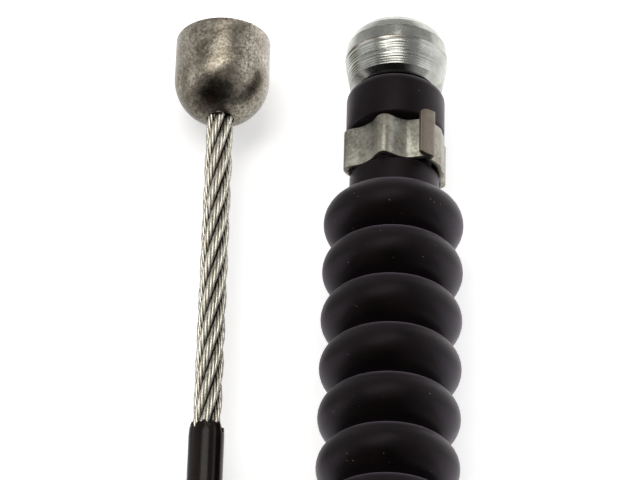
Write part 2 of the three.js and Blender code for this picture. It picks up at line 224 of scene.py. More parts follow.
conduit = tube("conduit", route, CONDUIT)
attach(conduit, "casing")
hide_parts("conduit_front", "conduit_coil", "conduit_rear")
print("conduit", round(length_of(conduit), 3), "m long")

# %% [markdown]
# ## Nodes
# Blender describes a surface by nodes that are linked to each other. One helper adds a node with its
# settings and links, and a few more give names to what is used again and again: a value stretched to
# another span, two colours mixed by a share, and sums on two values. Colours are written as hex values
# and turned to the linear ones that light is reckoned with.


# %% Helpers for materials
def linear(hex_colour):
    """A colour such as "8899aa" as the linear values that shaders use."""
    channels = [int(hex_colour[i : i + 2], 16) / 255 for i in (0, 2, 4)]
    return [
        *(c / 12.92 if c <= 0.04045 else ((c + 0.055) / 1.055) ** 2.4 for c in channels),
        1.0,
    ]


def add(tree, kind, settings=(), **links):
    """One node. A setting is an attribute or else an input's value; links join inputs."""
    node = tree.nodes.new(kind)
    for name, value in dict(settings).items():
        if isinstance(name, str) and hasattr(node, name):
            setattr(node, name, value)
        else:
            node.inputs[name].default_value = value
    for name, socket in links.items():
        key = int(name[1:]) if name[0] == "i" and name[1:].isdigit() else name.replace("_", " ")
        tree.links.new(socket, node.inputs[key])
    return node


def new_material(name):
    material = bpy.data.materials.new(name)
    material.use_nodes = True
    tree = material.node_tree
    tree.nodes.clear()
    print("finish:", name)
    return material, tree


def finish_material(tree, shader):
    output = tree.nodes.new("ShaderNodeOutputMaterial")
    tree.links.new(shader, output.inputs["Surface"])


def between(tree, value, low, high, to_low=0.0, to_high=1.0):
    """value stretched so that low becomes to_low and high becomes to_high, and held there."""
    settings = {"From Min": low, "From Max": high, "To Min": to_low, "To Max": to_high}
    return add(tree, "ShaderNodeMapRange", settings, Value=value).outputs[0]


def mixed(tree, share, first, second):
    """One colour or another by share; each is a hex value or the output of a node."""
    node = add(tree, "ShaderNodeMix", {"data_type": "RGBA"})
    tree.links.new(share, node.inputs["Factor"])
    for socket, colour in ((6, first), (7, second)):
        if isinstance(colour, str):
            node.inputs[socket].default_value = linear(colour)
        else:
            tree.links.new(colour, node.inputs[socket])
    return node.outputs[2]


def combined(tree, operation, first, second):
    """A Math node on two values, each a number or the output of a node."""
    node = add(tree, "ShaderNodeMath", {"operation": operation})
    for socket, value in enumerate((first, second)):
        if isinstance(value, (int, float)):
            node.inputs[socket].default_value = value
        else:
            tree.links.new(value, node.inputs[socket])
    return node.outputs[0]


def times(tree, first, second):
    return combined(tree, "MULTIPLY", first, second)


def coordinates(tree):
    return add(tree, "ShaderNodeTexCoord").outputs["Object"]


def place_of(tree):
    """The point's place in metres, as the outputs X, Y and Z."""
    return add(tree, "ShaderNodeSeparateXYZ", Vector=coordinates(tree)).outputs


def distance_from(tree, spot):
    """How far the point lies from a spot, in metres."""
    settings = {"operation": "DISTANCE", 1: spot}
    return add(tree, "ShaderNodeVectorMath", settings, i0=coordinates(tree)).outputs["Value"]


# %% [markdown]
# ## Light and floor
# A product on white is lit by large soft boxes. Smooth metal shows those boxes as bright stripes, and
# black rubber shows them as a pale sheen on its flanks, so where they stand matters as much as how
# bright they are. The floor is pale paper and keeps the shadow; the little light that it still lacks
# to be white is added only where the camera or a reflection looks at it. In reflections it is dimmer
# at the left, and between the nipple and its rope it carries a painted shade in dark brown, which gives
# the metal its dark parts.

# %% The studio
WHITE = (1, 1, 1, 1)
PAPER = "f6f6f6"
SHADED_PAPER = "30201a"
FLOOR_SIZE = 3.0
FLOOR_LIFT = 0.5  # what the paper lacks to white, where the camera looks at it
MIRRORED_LIFT = (0.05, 1.0)  # the same in reflections, at the left and at the right
LIFT_FROM = -0.03  # where across the paper the one turns into the other
LIFT_TO = 0.006
# Painted shade: reflections see the paper round this spot in dark brown.
SHADED_AT = Vector((-0.014, 0.02, 0))  # the paper between nipple and rope, which lies in shade
SHADED_REACH = (0.012, 0.026)
WALL_LIGHT = 0.7
CEILING_LIGHT = 0.42
WALL_TO_CEILING = (0.1, 0.8)  # how far up a look goes where the one turns into the other
DARK_SIDE = Vector((-0.34, -0.82, 0.46))  # where the camera looks in
DARK_LIGHT = 0.01
DARK_EDGE = (0.56, 0.8)  # how closely a look goes that way where the dark begins and is full
SOFT_BOXES = {  # where it stands, its size, its watts and its tint
    "window_box": ((-0.15, 0.23, 0.67), (0.7, 0.33), 2.6, (1.0, 0.98, 0.95)),
    "right_box": ((0.8, 0.15, 0.3), (0.9, 0.6), 2.0, (0.93, 0.92, 1.0)),
    "left_box": ((-0.85, -0.05, 0.35), (0.9, 0.6), 1.2, (0.98, 0.97, 1.0)),
}


def floor_material():
    """White paper. Only reflections show its painted shade, and a glow brighter at the right that
    stands for brighter walls.
    """
    material, tree = new_material("white_paper_floor")
    ray = add(tree, "ShaderNodeLightPath").outputs
    shaded = between(tree, distance_from(tree, SHADED_AT), *SHADED_REACH, 1.0, 0.0)
    tone = mixed(tree, times(tree, ray["Is Glossy Ray"], shaded), PAPER, SHADED_PAPER)
    paper = add(tree, "ShaderNodeBsdfDiffuse", Color=tone)
    mirrored = between(tree, place_of(tree)["X"], LIFT_FROM, LIFT_TO, *MIRRORED_LIFT)
    direct = times(tree, ray["Is Camera Ray"], FLOOR_LIFT)
    reflected = times(tree, ray["Is Glossy Ray"], mirrored)
    strength = combined(tree, "ADD", direct, reflected)
    glow = add(tree, "ShaderNodeEmission", {"Color": WHITE}, Strength=strength)
    both = add(tree, "ShaderNodeAddShader", i0=paper.outputs[0], i1=glow.outputs[0])
    finish_material(tree, both.outputs[0])
    return material


def make_floor():
    made = bmesh.new()
    bmesh.ops.create_grid(made, x_segments=1, y_segments=1, size=FLOOR_SIZE / 2)
    mesh = bpy.data.meshes.new("floor")
    made.to_mesh(mesh)
    made.free()
    mesh.materials.append(floor_material())
    link("floor", mesh)


def make_world():
    """Pale walls, a dimmer ceiling, and the dark side where the camera looks in."""
    world = bpy.data.worlds.new("studio")
    bpy.context.scene.world = world
    world.use_nodes = True
    tree = world.node_tree
    way = add(tree, "ShaderNodeTexCoord").outputs["Generated"]
    up = add(tree, "ShaderNodeSeparateXYZ", Vector=way).outputs["Z"]
    tent = between(tree, up, *WALL_TO_CEILING, WALL_LIGHT, CEILING_LIGHT)
    aim = {"operation": "DOT_PRODUCT", 1: DARK_SIDE}
    towards = add(tree, "ShaderNodeVectorMath", aim, i0=way).outputs["Value"]
    begins, full = DARK_EDGE
    edge = {"interpolation_type": "SMOOTHSTEP", "From Min": begins, "From Max": full}
    dark = add(tree, "ShaderNodeMapRange", edge, Value=towards).outputs[0]
    both = add(tree, "ShaderNodeMix", {"data_type": "FLOAT", 3: DARK_LIGHT}, i0=dark, i2=tent)
    tree.links.new(both.outputs[0], tree.nodes["Background"].inputs["Strength"])
    tree.nodes["Background"].inputs["Color"].default_value = WHITE


def soft_box(name, at, size, watts, tint):
    """An area lamp that looks at the middle of the two ends."""
    data = bpy.data.lights.new(name, "AREA")
    data.shape = "RECTANGLE"
    data.size, data.size_y = size
    data.energy = watts
    data.color = tint
    aim = LOOK_AT - Vector(at)
    turn = aim.to_track_quat("-Z", "Y").to_matrix().to_4x4()
    link(name, data).matrix_world = Matrix.Translation(at) @ turn


make_floor()
make_world()
for name, (at, size, watts, tint) in SOFT_BOXES.items():
    soft_box(name, at, size, watts, tint)
bpy.context.scene.view_settings.view_transform = "Standard"

# %% [markdown]
# ## Finishes
# Every finish starts from what the real surface is and how it was made. Patterns are sized in
# millimetres: a helper turns the size of one speck or ripple into the scale that a noise node wants.
# Patterns read the object's own coordinates, so that they stay on the piece when it moves. A noise
# rarely leaves 0.3 to 0.7, so colours and gloss are spread over that span or a narrower one.

# %% Helpers for patterns
WHOLE = (0.3, 0.7)  # the span of a noise
PATCHY = (0.35, 0.65)  # a narrower one, which gives clearer patches


def per(size_mm):
    """The noise scale at which one blotch is about this wide."""
    return 1 / (size_mm * MM)


def mottle(tree, size_mm, detail=3.0, roughness=0.55):
    """A cloudy pattern from 0 to 1."""
    settings = {"Scale": per(size_mm), "Detail": detail, "Roughness": roughness}
    return add(tree, "ShaderNodeTexNoise", settings, Vector=coordinates(tree)).outputs["Fac"]


def cells(tree, size_mm, output):
    """A pattern of cells that are about this wide."""
    settings = {"Scale": per(size_mm), "Randomness": 1.0}
    return add(tree, "ShaderNodeTexVoronoi", settings, Vector=coordinates(tree)).outputs[output]


def toned(tree, pattern, dark, light, span=PATCHY):
    """The pattern as a colour, from dark at the low end of the span to light at its high end."""
    return mixed(tree, between(tree, pattern, *span), dark, light)


def gloss(tree, pattern, rough):
    """The pattern as a roughness, from the first of two values to the second."""
    return between(tree, pattern, *WHOLE, *rough)


def bumped(tree, height, depth_mm, strength=1.0, under=None):
    settings = {"Distance": depth_mm * MM, "Strength": strength}
    node = add(tree, "ShaderNodeBump", settings, Height=height)
    if under is not None:
        tree.links.new(under, node.inputs["Normal"])
    return node.outputs[0]


def surface(tree, settings, **links):
    """Ends a material with the general surface shader."""
    finish_material(tree, add(tree, "ShaderNodeBsdfPrincipled", settings, **links).outputs[0])


def off_axis(tree, middle):
    """How far a point lies from a line along Y through middle, as (x, z) in metres."""
    place = place_of(tree)
    aside = combined(tree, "SUBTRACT", place["X"], middle[0])
    above = combined(tree, "SUBTRACT", place["Z"], middle[1])
    squares = [times(tree, way, way) for way in (aside, above)]
    return combined(tree, "SQRT", combined(tree, "ADD", *squares), 0.0)


def line_at(tree, place_mm, half_width_mm):
    """1 on a ring round the piece at a place along it, fading to 0 beside it."""
    along = combined(tree, "SUBTRACT", place_of(tree)["Y"], place_mm * MM)
    off = combined(tree, "ABSOLUTE", along, 0.0)
    return between(tree, off, 0.0, half_width_mm * MM, 1.0, 0.0)

# %% [markdown]
# ## The two axes
# Nearly every piece is round about one of two lines along Y: that of the nipple and its rope at the
# left, and that of the bellows and the ball at the right. Pieces are modelled about them and two of the
# finishes change with the distance from them, so both are read from the solids' boxes first.

# %% The two axes
def centre_line(node):
    """Where a round node's own axis stands, as (x, z), in metres."""
    low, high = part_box(node)
    return (low[0] + high[0]) / 2, (low[2] + high[2]) / 2


LEFT = centre_line("nipple")
RIGHT = centre_line("bellows")
print("axes at", [[round(c / MM, 3) for c in axis] for axis in (LEFT, RIGHT)], "mm")

# %% [markdown]
# ## Die-cast zinc
# The nipple is cast onto the rope in zinc. Cast zinc is not polished: a fine grain scatters its
# highlights, and handling has tarnished it to a warm, mottled grey with darker pin specks. Above the
# rope's mouth a dark brown spot is painted on the half ball: a painted reflection of the shaded paper
# and of the studio's dark side.


# %% The zinc of the nipple
TARNISH = 2.2  # millimetres across one cloud of it; the sizes of all patterns are in millimetres
CAST_GRAIN = 0.3
PIN_SPECK = 0.4
TARNISHED = (0.4, 0.62)
GRAINY = (0.36, 0.62)
SPECKED = (0.6, 0.68)
SPECK_SHARE = 0.6
ZINC_ROUGH = (0.22, 0.36)
# Painted reflection: a dark brown spot where the zinc would mirror the shaded paper and the dark side.
DARK_REFLECTION_AT = Vector((-11.3, 38.6, 8.1)) * MM  # on the half ball, above the rope's mouth
DARK_REFLECTION_REACH = (1.7, 4.1)  # millimetres, where it begins to fade and where it ends
DARK_REFLECTION_FRAY = 2.0
DARK_REFLECTION_SHARE = 0.93


def painted_dark_reflection(tree, clouds, under):
    """The painted dark reflection over the colour under it, with an edge that the clouds fray."""
    fray = times(tree, clouds, DARK_REFLECTION_FRAY * MM)
    away = combined(tree, "ADD", distance_from(tree, DARK_REFLECTION_AT), fray)
    near, far = DARK_REFLECTION_REACH
    reflected_dark = mixed(tree, between(tree, away, 0.0, near * MM), "5a3424", "2a221d")
    return mixed(tree, between(tree, away, near * MM, far * MM, DARK_REFLECTION_SHARE, 0.0), under, reflected_dark)


def die_cast_zinc():
    material, tree = new_material("die_cast_zinc")
    clouds = mottle(tree, TARNISH, detail=5.0, roughness=0.65)
    grain = mottle(tree, CAST_GRAIN, detail=4.0, roughness=0.7)
    specks = between(tree, mottle(tree, PIN_SPECK, detail=2.0), *SPECKED)
    base = toned(tree, clouds, "877f71", "beb8a9", TARNISHED)
    grained = toned(tree, grain, "625b4f", base, GRAINY)
    speckled = mixed(tree, times(tree, specks, SPECK_SHARE), grained, "4a3a31")
    waves = bumped(tree, clouds, depth_mm=0.08, strength=0.5)
    surface(
        tree,
        {"Metallic": 0.9},
        # The base colour carries the painted dark reflection above the rope's mouth.
        Base_Color=painted_dark_reflection(tree, clouds, speckled),
        Roughness=gloss(tree, clouds, ZINC_ROUGH),
        Normal=bumped(tree, grain, depth_mm=0.03, strength=0.8, under=waves),
    )
    return material


ZINC = die_cast_zinc()

# %% [markdown]
# ## Galvanised wire
# The rope's wires are drawn through a die and galvanised, so they are bright along their length. Grease
# and dirt stay in the gaps between strands, where shade also falls, which is why a rope looks like
# light and dark stripes. We let the colour follow the distance from the rope's middle: clean on the
# crowns, dark in the gaps, as grease and painted shade together.


# %% The wire of the rope
CLEAN_AND_LIT_AT = 1.32  # from the rope's middle, in millimetres
GRIME_AND_SHADE_AT = 0.9
WORN = 0.9
WIRE_ROUGH = (0.22, 0.36)


def galvanised_wire(middle):
    """middle is the rope's own axis as (x, z) in metres."""
    material, tree = new_material("galvanised_wire")
    worn = mottle(tree, WORN)
    clean_and_lit = between(tree, off_axis(tree, middle), GRIME_AND_SHADE_AT * MM, CLEAN_AND_LIT_AT * MM)
    bright = toned(tree, worn, "aca799", "d6d3c8", WHOLE)
    surface(
        tree,
        {"Metallic": 1.0},
        # Base colour: dark in the gaps as grease and painted shade together, bright on the crowns.
        Base_Color=mixed(tree, clean_and_lit, "5c554a", bright),
        Roughness=gloss(tree, worn, WIRE_ROUGH),
    )
    return material


WIRE = galvanised_wire(LEFT)

# %% [markdown]
# ## Turned and zinc-plated steel
# The end fitting comes off a lathe, so it keeps rings from the tool, and its thin zinc plating is a
# cool grey. The plating is thinnest on the sharp edges, where a line of rust has begun.


# %% The steel of the end fitting
RUST_LINES = [(45.75, 0.16), (44.3, 0.14)]  # where along the fitting, and half of its width
RUST_PATCH = 0.8
RUSTED = (0.44, 0.6)
RUST_SHARE = 0.85
TOOL_RING = 1.3823  # millimetres from one ring to the next
WAVE_TURNS = 20  # radians that a wave's phase turns in one unit, at scale 1
ZINC_CLOUD = 1.6
CLOUDED = (0.35, 0.68)
PLATING_GRAIN = 0.18
TURNED_ROUGH = (0.17, 0.28)


def lathe_rings(tree):
    settings = {
        "bands_direction": "Y",
        "Scale": 2 * math.pi * per(TOOL_RING) / WAVE_TURNS,
        "Distortion": 2.0,
        "Detail": 2.0,
        "Detail Scale": 0.6,
    }
    return add(tree, "ShaderNodeTexWave", settings, Vector=coordinates(tree)).outputs["Fac"]


def turned_steel():
    material, tree = new_material("turned_zinc_plated_steel")
    clouds = mottle(tree, ZINC_CLOUD, detail=4.0)
    fine = mottle(tree, PLATING_GRAIN, detail=2.0)
    patches = between(tree, mottle(tree, RUST_PATCH), *RUSTED)
    rust = combined(
        tree,
        "MAXIMUM",
        *[times(tree, line_at(tree, place, half), patches) for place, half in RUST_LINES],
    )
    base = toned(tree, clouds, "8b8c86", "a9aaa4", CLOUDED)
    skin = bumped(tree, fine, depth_mm=0.006, strength=0.4)
    surface(
        tree,
        {"Metallic": 1.0},
        Base_Color=mixed(tree, times(tree, rust, RUST_SHARE), base, "5d3c2e"),
        Roughness=gloss(tree, fine, TURNED_ROUGH),
        Normal=bumped(tree, lathe_rings(tree), depth_mm=0.008, strength=0.5, under=skin),
    )
    return material


TURNED = turned_steel()

# %% [markdown]
# ## Pressed and zinc-plated steel
# The ferrules are drawn from tube, barrel-plated and then crimped. Tumbling in the plating barrel
# leaves them satin, with small bright nicks.

# %% The steel of the ferrules
BARREL_CLOUD = 2.5
NICK = 0.5
NICKED = (0.62, 0.68)
NICK_SHARE = 0.6
SATIN_GRAIN = 0.2
SATIN_ROUGH = (0.28, 0.4)


def plated_steel():
    material, tree = new_material("barrel_plated_steel")
    clouds = mottle(tree, BARREL_CLOUD, detail=4.0)
    nicks = between(tree, mottle(tree, NICK, detail=1.0), *NICKED)
    base = toned(tree, clouds, "8f908b", "b0b1ab")
    grain = mottle(tree, SATIN_GRAIN, detail=2.0)
    surface(
        tree,
        {"Metallic": 1.0},
        Base_Color=mixed(tree, times(tree, nicks, NICK_SHARE), base, "cfcfc8"),
        Roughness=gloss(tree, grain, SATIN_ROUGH),
        Normal=bumped(tree, grain, depth_mm=0.008, strength=0.5),
    )
    return material


PLATED = plated_steel()

# %% [markdown]
# ## Galvanised strip
# The clamp is bent from thin galvanised strip. Hot zinc freezes into dull crystals a fraction of a
# millimetre wide on such thin stock.


# %% The strip of the clamp
CRYSTAL = 0.3
CRYSTAL_SHARE = 0.5
STRIP_CLOUD = 1.8
STRIP_GRAIN = 0.16
STRIP_ROUGH = (0.36, 0.52)
RUSTY_FROM = 5.2  # from the bellows' axis: bent outward, the zinc has flaked most on the pinched ear
RUSTY_TO = 6.1
RUSTY_SHARE = 0.8


def galvanised_strip(middle):
    """middle is the bellows' axis as (x, z) in metres."""
    material, tree = new_material("galvanised_strip")
    crystals = cells(tree, CRYSTAL, "Color")
    shade = add(tree, "ShaderNodeSeparateColor", Color=crystals).outputs[0]
    base = toned(tree, mottle(tree, STRIP_CLOUD, detail=4.0), "6f6d62", "95948a")
    bright = mixed(tree, times(tree, shade, CRYSTAL_SHARE), base, "b9b8aa")
    out = off_axis(tree, middle)
    rusty = between(tree, out, RUSTY_FROM * MM, RUSTY_TO * MM, 0.0, RUSTY_SHARE)
    grain = mottle(tree, STRIP_GRAIN, detail=2.0)
    surface(
        tree,
        {"Metallic": 0.9},
        Base_Color=mixed(tree, rusty, bright, "6b5f54"),
        Roughness=gloss(tree, grain, STRIP_ROUGH),
        Normal=bumped(tree, grain, depth_mm=0.01, strength=0.6),
    )
    return material


STRIP = galvanised_strip(RIGHT)

# %% [markdown]
# ## Moulded rubber
# The bellows is black synthetic rubber from a mould. It is nearly black from above and turns to a
# soft lilac grey where the side light grazes it. A pale lilac sheen is also painted into its colour, on
# the flanks of the folds that look sideways and towards the conduit, and a little dust sticks in pale
# specks.


# %% The rubber of the bellows
# Painted sheen, which the notes below call the bloom: pale lilac on faces that look sideways and
# towards the conduit.
PAINTED_SHEEN_ASIDE = (0.5, 1.0)  # how far a face looks sideways, where the bloom begins and where it is full
PAINTED_SHEEN_BELOW = (-0.2, -0.8)  # the same along the cable, towards the ball and towards the conduit
PAINTED_SHEEN_GRAIN = (0.3, 0.6)
PAINTED_SHEEN_SHARE = (0.35, 0.7)  # how much of it shows in the grain's hollows and on its tops
DUST_ROOM = 0.9  # millimetres from one speck to the next
DUST_SIZE = (0.05, 0.1)  # where a speck begins to fade and where it ends, as a share of that
DUST_FIELD = 2.0
DUSTY = (0.56, 0.62)
DUST_SHARE = 0.55
RUBBER_CLOUD = 3.0
RUBBER_CLOUDED = (0.35, 0.7)
RUBBER_GRAIN = 0.12
RUBBER_ROUGH = (0.38, 0.48)


def painted_flank_sheen(tree, grain):
    """Painted sheen where faces look sideways and towards the conduit, the more so on the grain's tops.
    """
    normal = add(tree, "ShaderNodeTexCoord").outputs["Normal"]
    way = add(tree, "ShaderNodeSeparateXYZ", Vector=normal).outputs
    aside = between(tree, combined(tree, "ABSOLUTE", way["X"], 0.0), *PAINTED_SHEEN_ASIDE)
    below = between(tree, way["Y"], *PAINTED_SHEEN_BELOW)
    grained_sheen = between(tree, grain, *PAINTED_SHEEN_GRAIN, *PAINTED_SHEEN_SHARE)
    return times(tree, times(tree, aside, below), grained_sheen)


def dust_specks(tree):
    dots = between(tree, cells(tree, DUST_ROOM, "Distance"), *DUST_SIZE, 1.0, 0.0)
    fields = between(tree, mottle(tree, DUST_FIELD, detail=1.0), *DUSTY)
    return times(tree, times(tree, dots, fields), DUST_SHARE)


def moulded_rubber():
    material, tree = new_material("moulded_rubber")
    clouds = mottle(tree, RUBBER_CLOUD, detail=4.0)
    grain = mottle(tree, RUBBER_GRAIN, detail=2.0)
    base = toned(tree, clouds, "080504", "130c0a", RUBBER_CLOUDED)
    # The base colour with the painted lilac sheen on the flanks.
    sheened = mixed(tree, painted_flank_sheen(tree, grain), base, "7b7180")
    surface(
        tree,
        {
            "IOR": 1.21,
            "Specular Tint": linear("ebe0ee"),
            "Sheen Weight": 0.4,
            "Sheen Roughness": 0.36,
            "Sheen Tint": linear("d9cbdc"),
        },
        Base_Color=mixed(tree, dust_specks(tree), sheened, "8d7f76"),
        Roughness=gloss(tree, clouds, RUBBER_ROUGH),
        Normal=bumped(tree, grain, depth_mm=0.006, strength=0.35),
    )
    return material


RUBBER = moulded_rubber()

# %% [markdown]
# ## Extruded plastics
# The coating on the inner cable, the conduit's jacket, the liner and the ties are all plastic. What
# tells them apart is gloss: the thin coating is drawn smooth and shines, the jacket is duller and
# faintly streaked along its length, the ties are moulded with a fine grain, and the liner is the
# plastic's own milky colour.

# %% The four plastics
PLASTIC_CLOUD = 2.5
PLASTIC_GRAINS = 2.0  # how finely the grain is broken up


def plastic(name, tones, rough, grain_mm, depth_mm, refraction=1.49):
    material, tree = new_material(name)
    grain = mottle(tree, grain_mm, detail=PLASTIC_GRAINS)
    surface(
        tree,
        {"IOR": refraction},
        Base_Color=toned(tree, mottle(tree, PLASTIC_CLOUD), *tones),
        Roughness=gloss(tree, grain, rough),
        Normal=bumped(tree, grain, depth_mm, strength=0.4),
    )
    return material


COATING = plastic(
    "drawn_polymer_coating",
    ("100906", "1b120e"),
    rough=(0.15, 0.23),
    grain_mm=0.4,
    depth_mm=0.004,
    refraction=1.25,
)
JACKET = plastic("extruded_jacket", ("0f0f10", "191819"), (0.4, 0.52), grain_mm=0.3, depth_mm=0.02)
LINER = plastic("natural_liner", ("cfcabb", "dcd8cc"), (0.35, 0.45), grain_mm=0.3, depth_mm=0.005)
TIE = plastic("moulded_nylon", ("121213", "1b1b1c"), (0.4, 0.5), grain_mm=0.25, depth_mm=0.01)
print(len(bpy.data.materials), "materials")

# %% [markdown]
# ## Turned pieces
# Most pieces here are round, so one helper spins a profile about a line along Y. The profile's corners
# are [radius, place] pairs in millimetres, and a third number rounds that corner. Rounding the corner
# in the profile gives a true edge that catches the light all the way round.


# %% Helpers for turned pieces
BEVELED_PAST = 50  # degrees between two faces, past which the edge between them is rounded
LEAN = 0.2  # how far the bellows' end has bent aside, in millimetres
LEANS_FROM = -19.0
LEANS_OVER = 52.0


def rounded(corners, steps=4):
    """The corners with each one that has a radius replaced by an arc that touches both its sides."""
    made = []
    for i, corner in enumerate(corners):
        if len(corner) < 3 or i in (0, len(corners) - 1):
            made.append(Vector(corner[:2]))
            continue
        at, size = Vector(corner[:2]), corner[2]
        before = (Vector(corners[i - 1][:2]) - at).normalized()
        after = (Vector(corners[i + 1][:2]) - at).normalized()
        half = before.angle(after) / 2
        reach = size / math.tan(half)
        middle = at + (before + after).normalized() * (size / math.sin(half))
        start, stop = at + before * reach - middle, at + after * reach - middle
        for step in range(steps + 1):
            share = step / steps
            made.append(middle + start.lerp(stop, share).normalized() * size)
    return made


def arc(radius, place, size, first, last, steps):
    """Corners on a circle about (radius, place), from one angle to another in degrees."""
    angles = [math.radians(first + (last - first) * i / steps) for i in range(steps + 1)]
    return [(radius + size * math.cos(a), place + size * math.sin(a)) for a in angles]


def spun(corners, steps, closed=False):
    """A bmesh of the profile spun once round the Y axis."""
    made = bmesh.new()
    points = [made.verts.new((c[0] * MM, c[1] * MM, 0)) for c in corners]
    edges = [made.edges.new(pair) for pair in zip(points, points[1:])]
    if closed:
        edges.append(made.edges.new((points[-1], points[0])))
    bmesh.ops.spin(
        made,
        geom=points + edges,
        cent=(0, 0, 0),
        axis=(0, 1, 0),
        angle=2 * math.pi,
        steps=steps,
        use_merge=True,
        use_duplicate=False,
    )
    bmesh.ops.remove_doubles(made, verts=made.verts, dist=1e-7)
    bmesh.ops.dissolve_degenerate(made, edges=made.edges, dist=1e-8)
    bmesh.ops.recalc_face_normals(made, faces=made.faces)
    return made


def beveled(made, offset):
    """Rounds every sharp edge."""
    sharp = math.radians(BEVELED_PAST)
    bmesh.ops.bevel(
        made,
        geom=[edge for edge in made.edges if edge.calc_face_angle(0) > sharp],
        offset=offset * MM,
        segments=2,
        profile=0.5,
        affect="EDGES",
        material=-1,
    )


def lean(made):
    """Bends the bellows' end a little outward, as rubber that lies free does."""
    for point in made.verts:
        point.co.x += LEAN * MM * smooth((point.co.y / MM - LEANS_FROM) / LEANS_OVER)


def off_middle(point):
    """How far a point of a mesh lies from the Y axis, in millimetres."""
    return math.hypot(point.co.x, point.co.z) / MM


def widen(point, share):
    """Moves a point of a mesh away from the Y axis, or towards it."""
    point.co.x *= share
    point.co.z *= share


def angle_of(point):
    """Degrees round the Y axis, from the top towards the nipple."""
    return math.degrees(math.atan2(-point.co.x, point.co.z))


def settle(made, name, material, body, at, stands_for, sharp=40):
    """The finished object: moved to its axis, smooth but for its real corners, dressed and riding."""
    bmesh.ops.translate(made, verts=made.verts, vec=(at[0], 0, at[1]))
    mesh = bpy.data.meshes.new(name)
    made.to_mesh(mesh)
    made.free()
    mesh.shade_smooth()
    mesh.set_sharp_from_angle(angle=math.radians(sharp))
    mesh.materials.append(material)
    piece = link(name, mesh)
    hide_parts(*stands_for)
    if isinstance(body, str):
        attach(piece, body)
    print(name, len(mesh.polygons), "faces")
    return piece


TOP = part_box("nipple")[1][1] / MM  # the nipple's end face
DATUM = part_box("ferrule_front")[0][1] / MM  # where the conduit enters its ferrules

# %% [markdown]
# ## The nipple
# The lever holds the nipple by its half-ball seat, so that the cable can swing in its pocket. The two
# halves of the casting mould leave a fine raised line along the barrel, a little to the right of the
# top. We spin the profile and then raise one column of points for that line.

# %% The nipple
NIPPLE_RADIUS = 5.125
NIPPLE_RIM = 0.3  # the radius that rounds the end face's edge
BARREL = 4.95
ROPE_SOCKET = 1.56
MOUTH = 1.47  # the zinc has run between the outermost wires
MOUTH_DEEP_AT = 0.8  # how far up from the half ball's lowest point the zinc fills the mouth
SOCKET_DEEP = 4.5
MOULD_LINE_AT = 36.0  # degrees from the top, to the right
MOULD_LINE_HIGH = 0.1
MOULD_LINE_EVEN = 0.6  # its mean height as a share of that; noise breaks it up about this
MOULD_LINE_OVER = 1.0  # how far it runs on from the barrel over the half ball
FLASH = (0.8, 0.36, 0.3)  # the bead of zinc that has run out at the mouth
FLASH_OFF = (-0.1, -0.05, 0.12)  # its middle, from the top of the mouth's rim
SKIN = 0.2  # points this close to the outer radius lie on the outside
NIPPLE_STEPS = 180
SEAT_STEPS = 28


def raise_mould_line(made):
    """Lifts the points of the barrel that lie on the mould's two parting planes."""
    half_step = math.pi / NIPPLE_STEPS
    line_to = TOP - BARREL - MOULD_LINE_OVER
    for point in made.verts:
        turned_by = math.atan2(point.co.x, point.co.z) - math.radians(MOULD_LINE_AT)
        off = abs((turned_by + math.pi / 2) % math.pi - math.pi / 2)
        radius = off_middle(point)
        if off < half_step and point.co.y / MM > line_to and radius > NIPPLE_RADIUS - SKIN:
            broken = MOULD_LINE_EVEN + noise.noise(point.co / MM)
            widen(point, 1 + MOULD_LINE_HIGH * broken / radius)


def zinc_bead(made, rim):
    """The zinc that ran out of the mould over the mouth's rim and froze there."""
    bead = bmesh.ops.create_icosphere(made, subdivisions=3, radius=MM / 2)["verts"]
    bmesh.ops.scale(made, verts=bead, vec=FLASH)
    aside, along, up = FLASH_OFF
    at = Vector((aside, rim + along, MOUTH + up)) * MM
    bmesh.ops.translate(made, verts=bead, vec=at)


def nipple():
    seat = TOP - BARREL
    mouth = math.degrees(math.acos(MOUTH / NIPPLE_RADIUS))
    floor_at = seat - NIPPLE_RADIUS + SOCKET_DEEP
    outline = [
        (0, floor_at),
        (ROPE_SOCKET, floor_at),
        (ROPE_SOCKET, seat - NIPPLE_RADIUS + MOUTH_DEEP_AT),
        *arc(0, seat, NIPPLE_RADIUS, -mouth, 0, SEAT_STEPS),
        (NIPPLE_RADIUS, TOP, NIPPLE_RIM),
        (0, TOP),
    ]
    made = spun(rounded(outline), NIPPLE_STEPS)
    raise_mould_line(made)
    zinc_bead(made, seat - math.sqrt(NIPPLE_RADIUS**2 - MOUTH**2))
    settle(made, "cast_nipple", ZINC, "nipple_end", LEFT, ["nipple"])


nipple()

# %% [markdown]
# ## The wire rope
# A brake cable's rope is six strands laid round a seventh, and each strand is itself six wires round a
# seventh. The strands turn one way and their wires the other, so the wires on the outside run almost
# straight along the rope. We draw each wire as a helix on a helix and let a curve's round bevel give
# it its thickness, then keep the mesh.

# %% The wire rope
ROPE_DIAMETER = 3.0
STRAND_DIAMETER = ROPE_DIAMETER / 3  # six strands round a seventh are three strands across
WIRE_DIAMETER = STRAND_DIAMETER / 3  # and the same holds for the wires of a strand
ROPE_LAY = 24.0
STRAND_LAY = 8.2
WIRE_FILL = 0.97  # a wire's share of its room, so that neighbours don't cut into each other
WIRE_STEP = 0.65  # millimetres from one point of a wire to the next
WIRE_ROUNDNESS = 2
ROUND_THE_CORE = 6  # strands round the core strand, and wires round a strand's core wire
ROPE_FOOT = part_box("rope_core")[0][1] / MM
ROPE_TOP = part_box("rope_core")[1][1] / MM


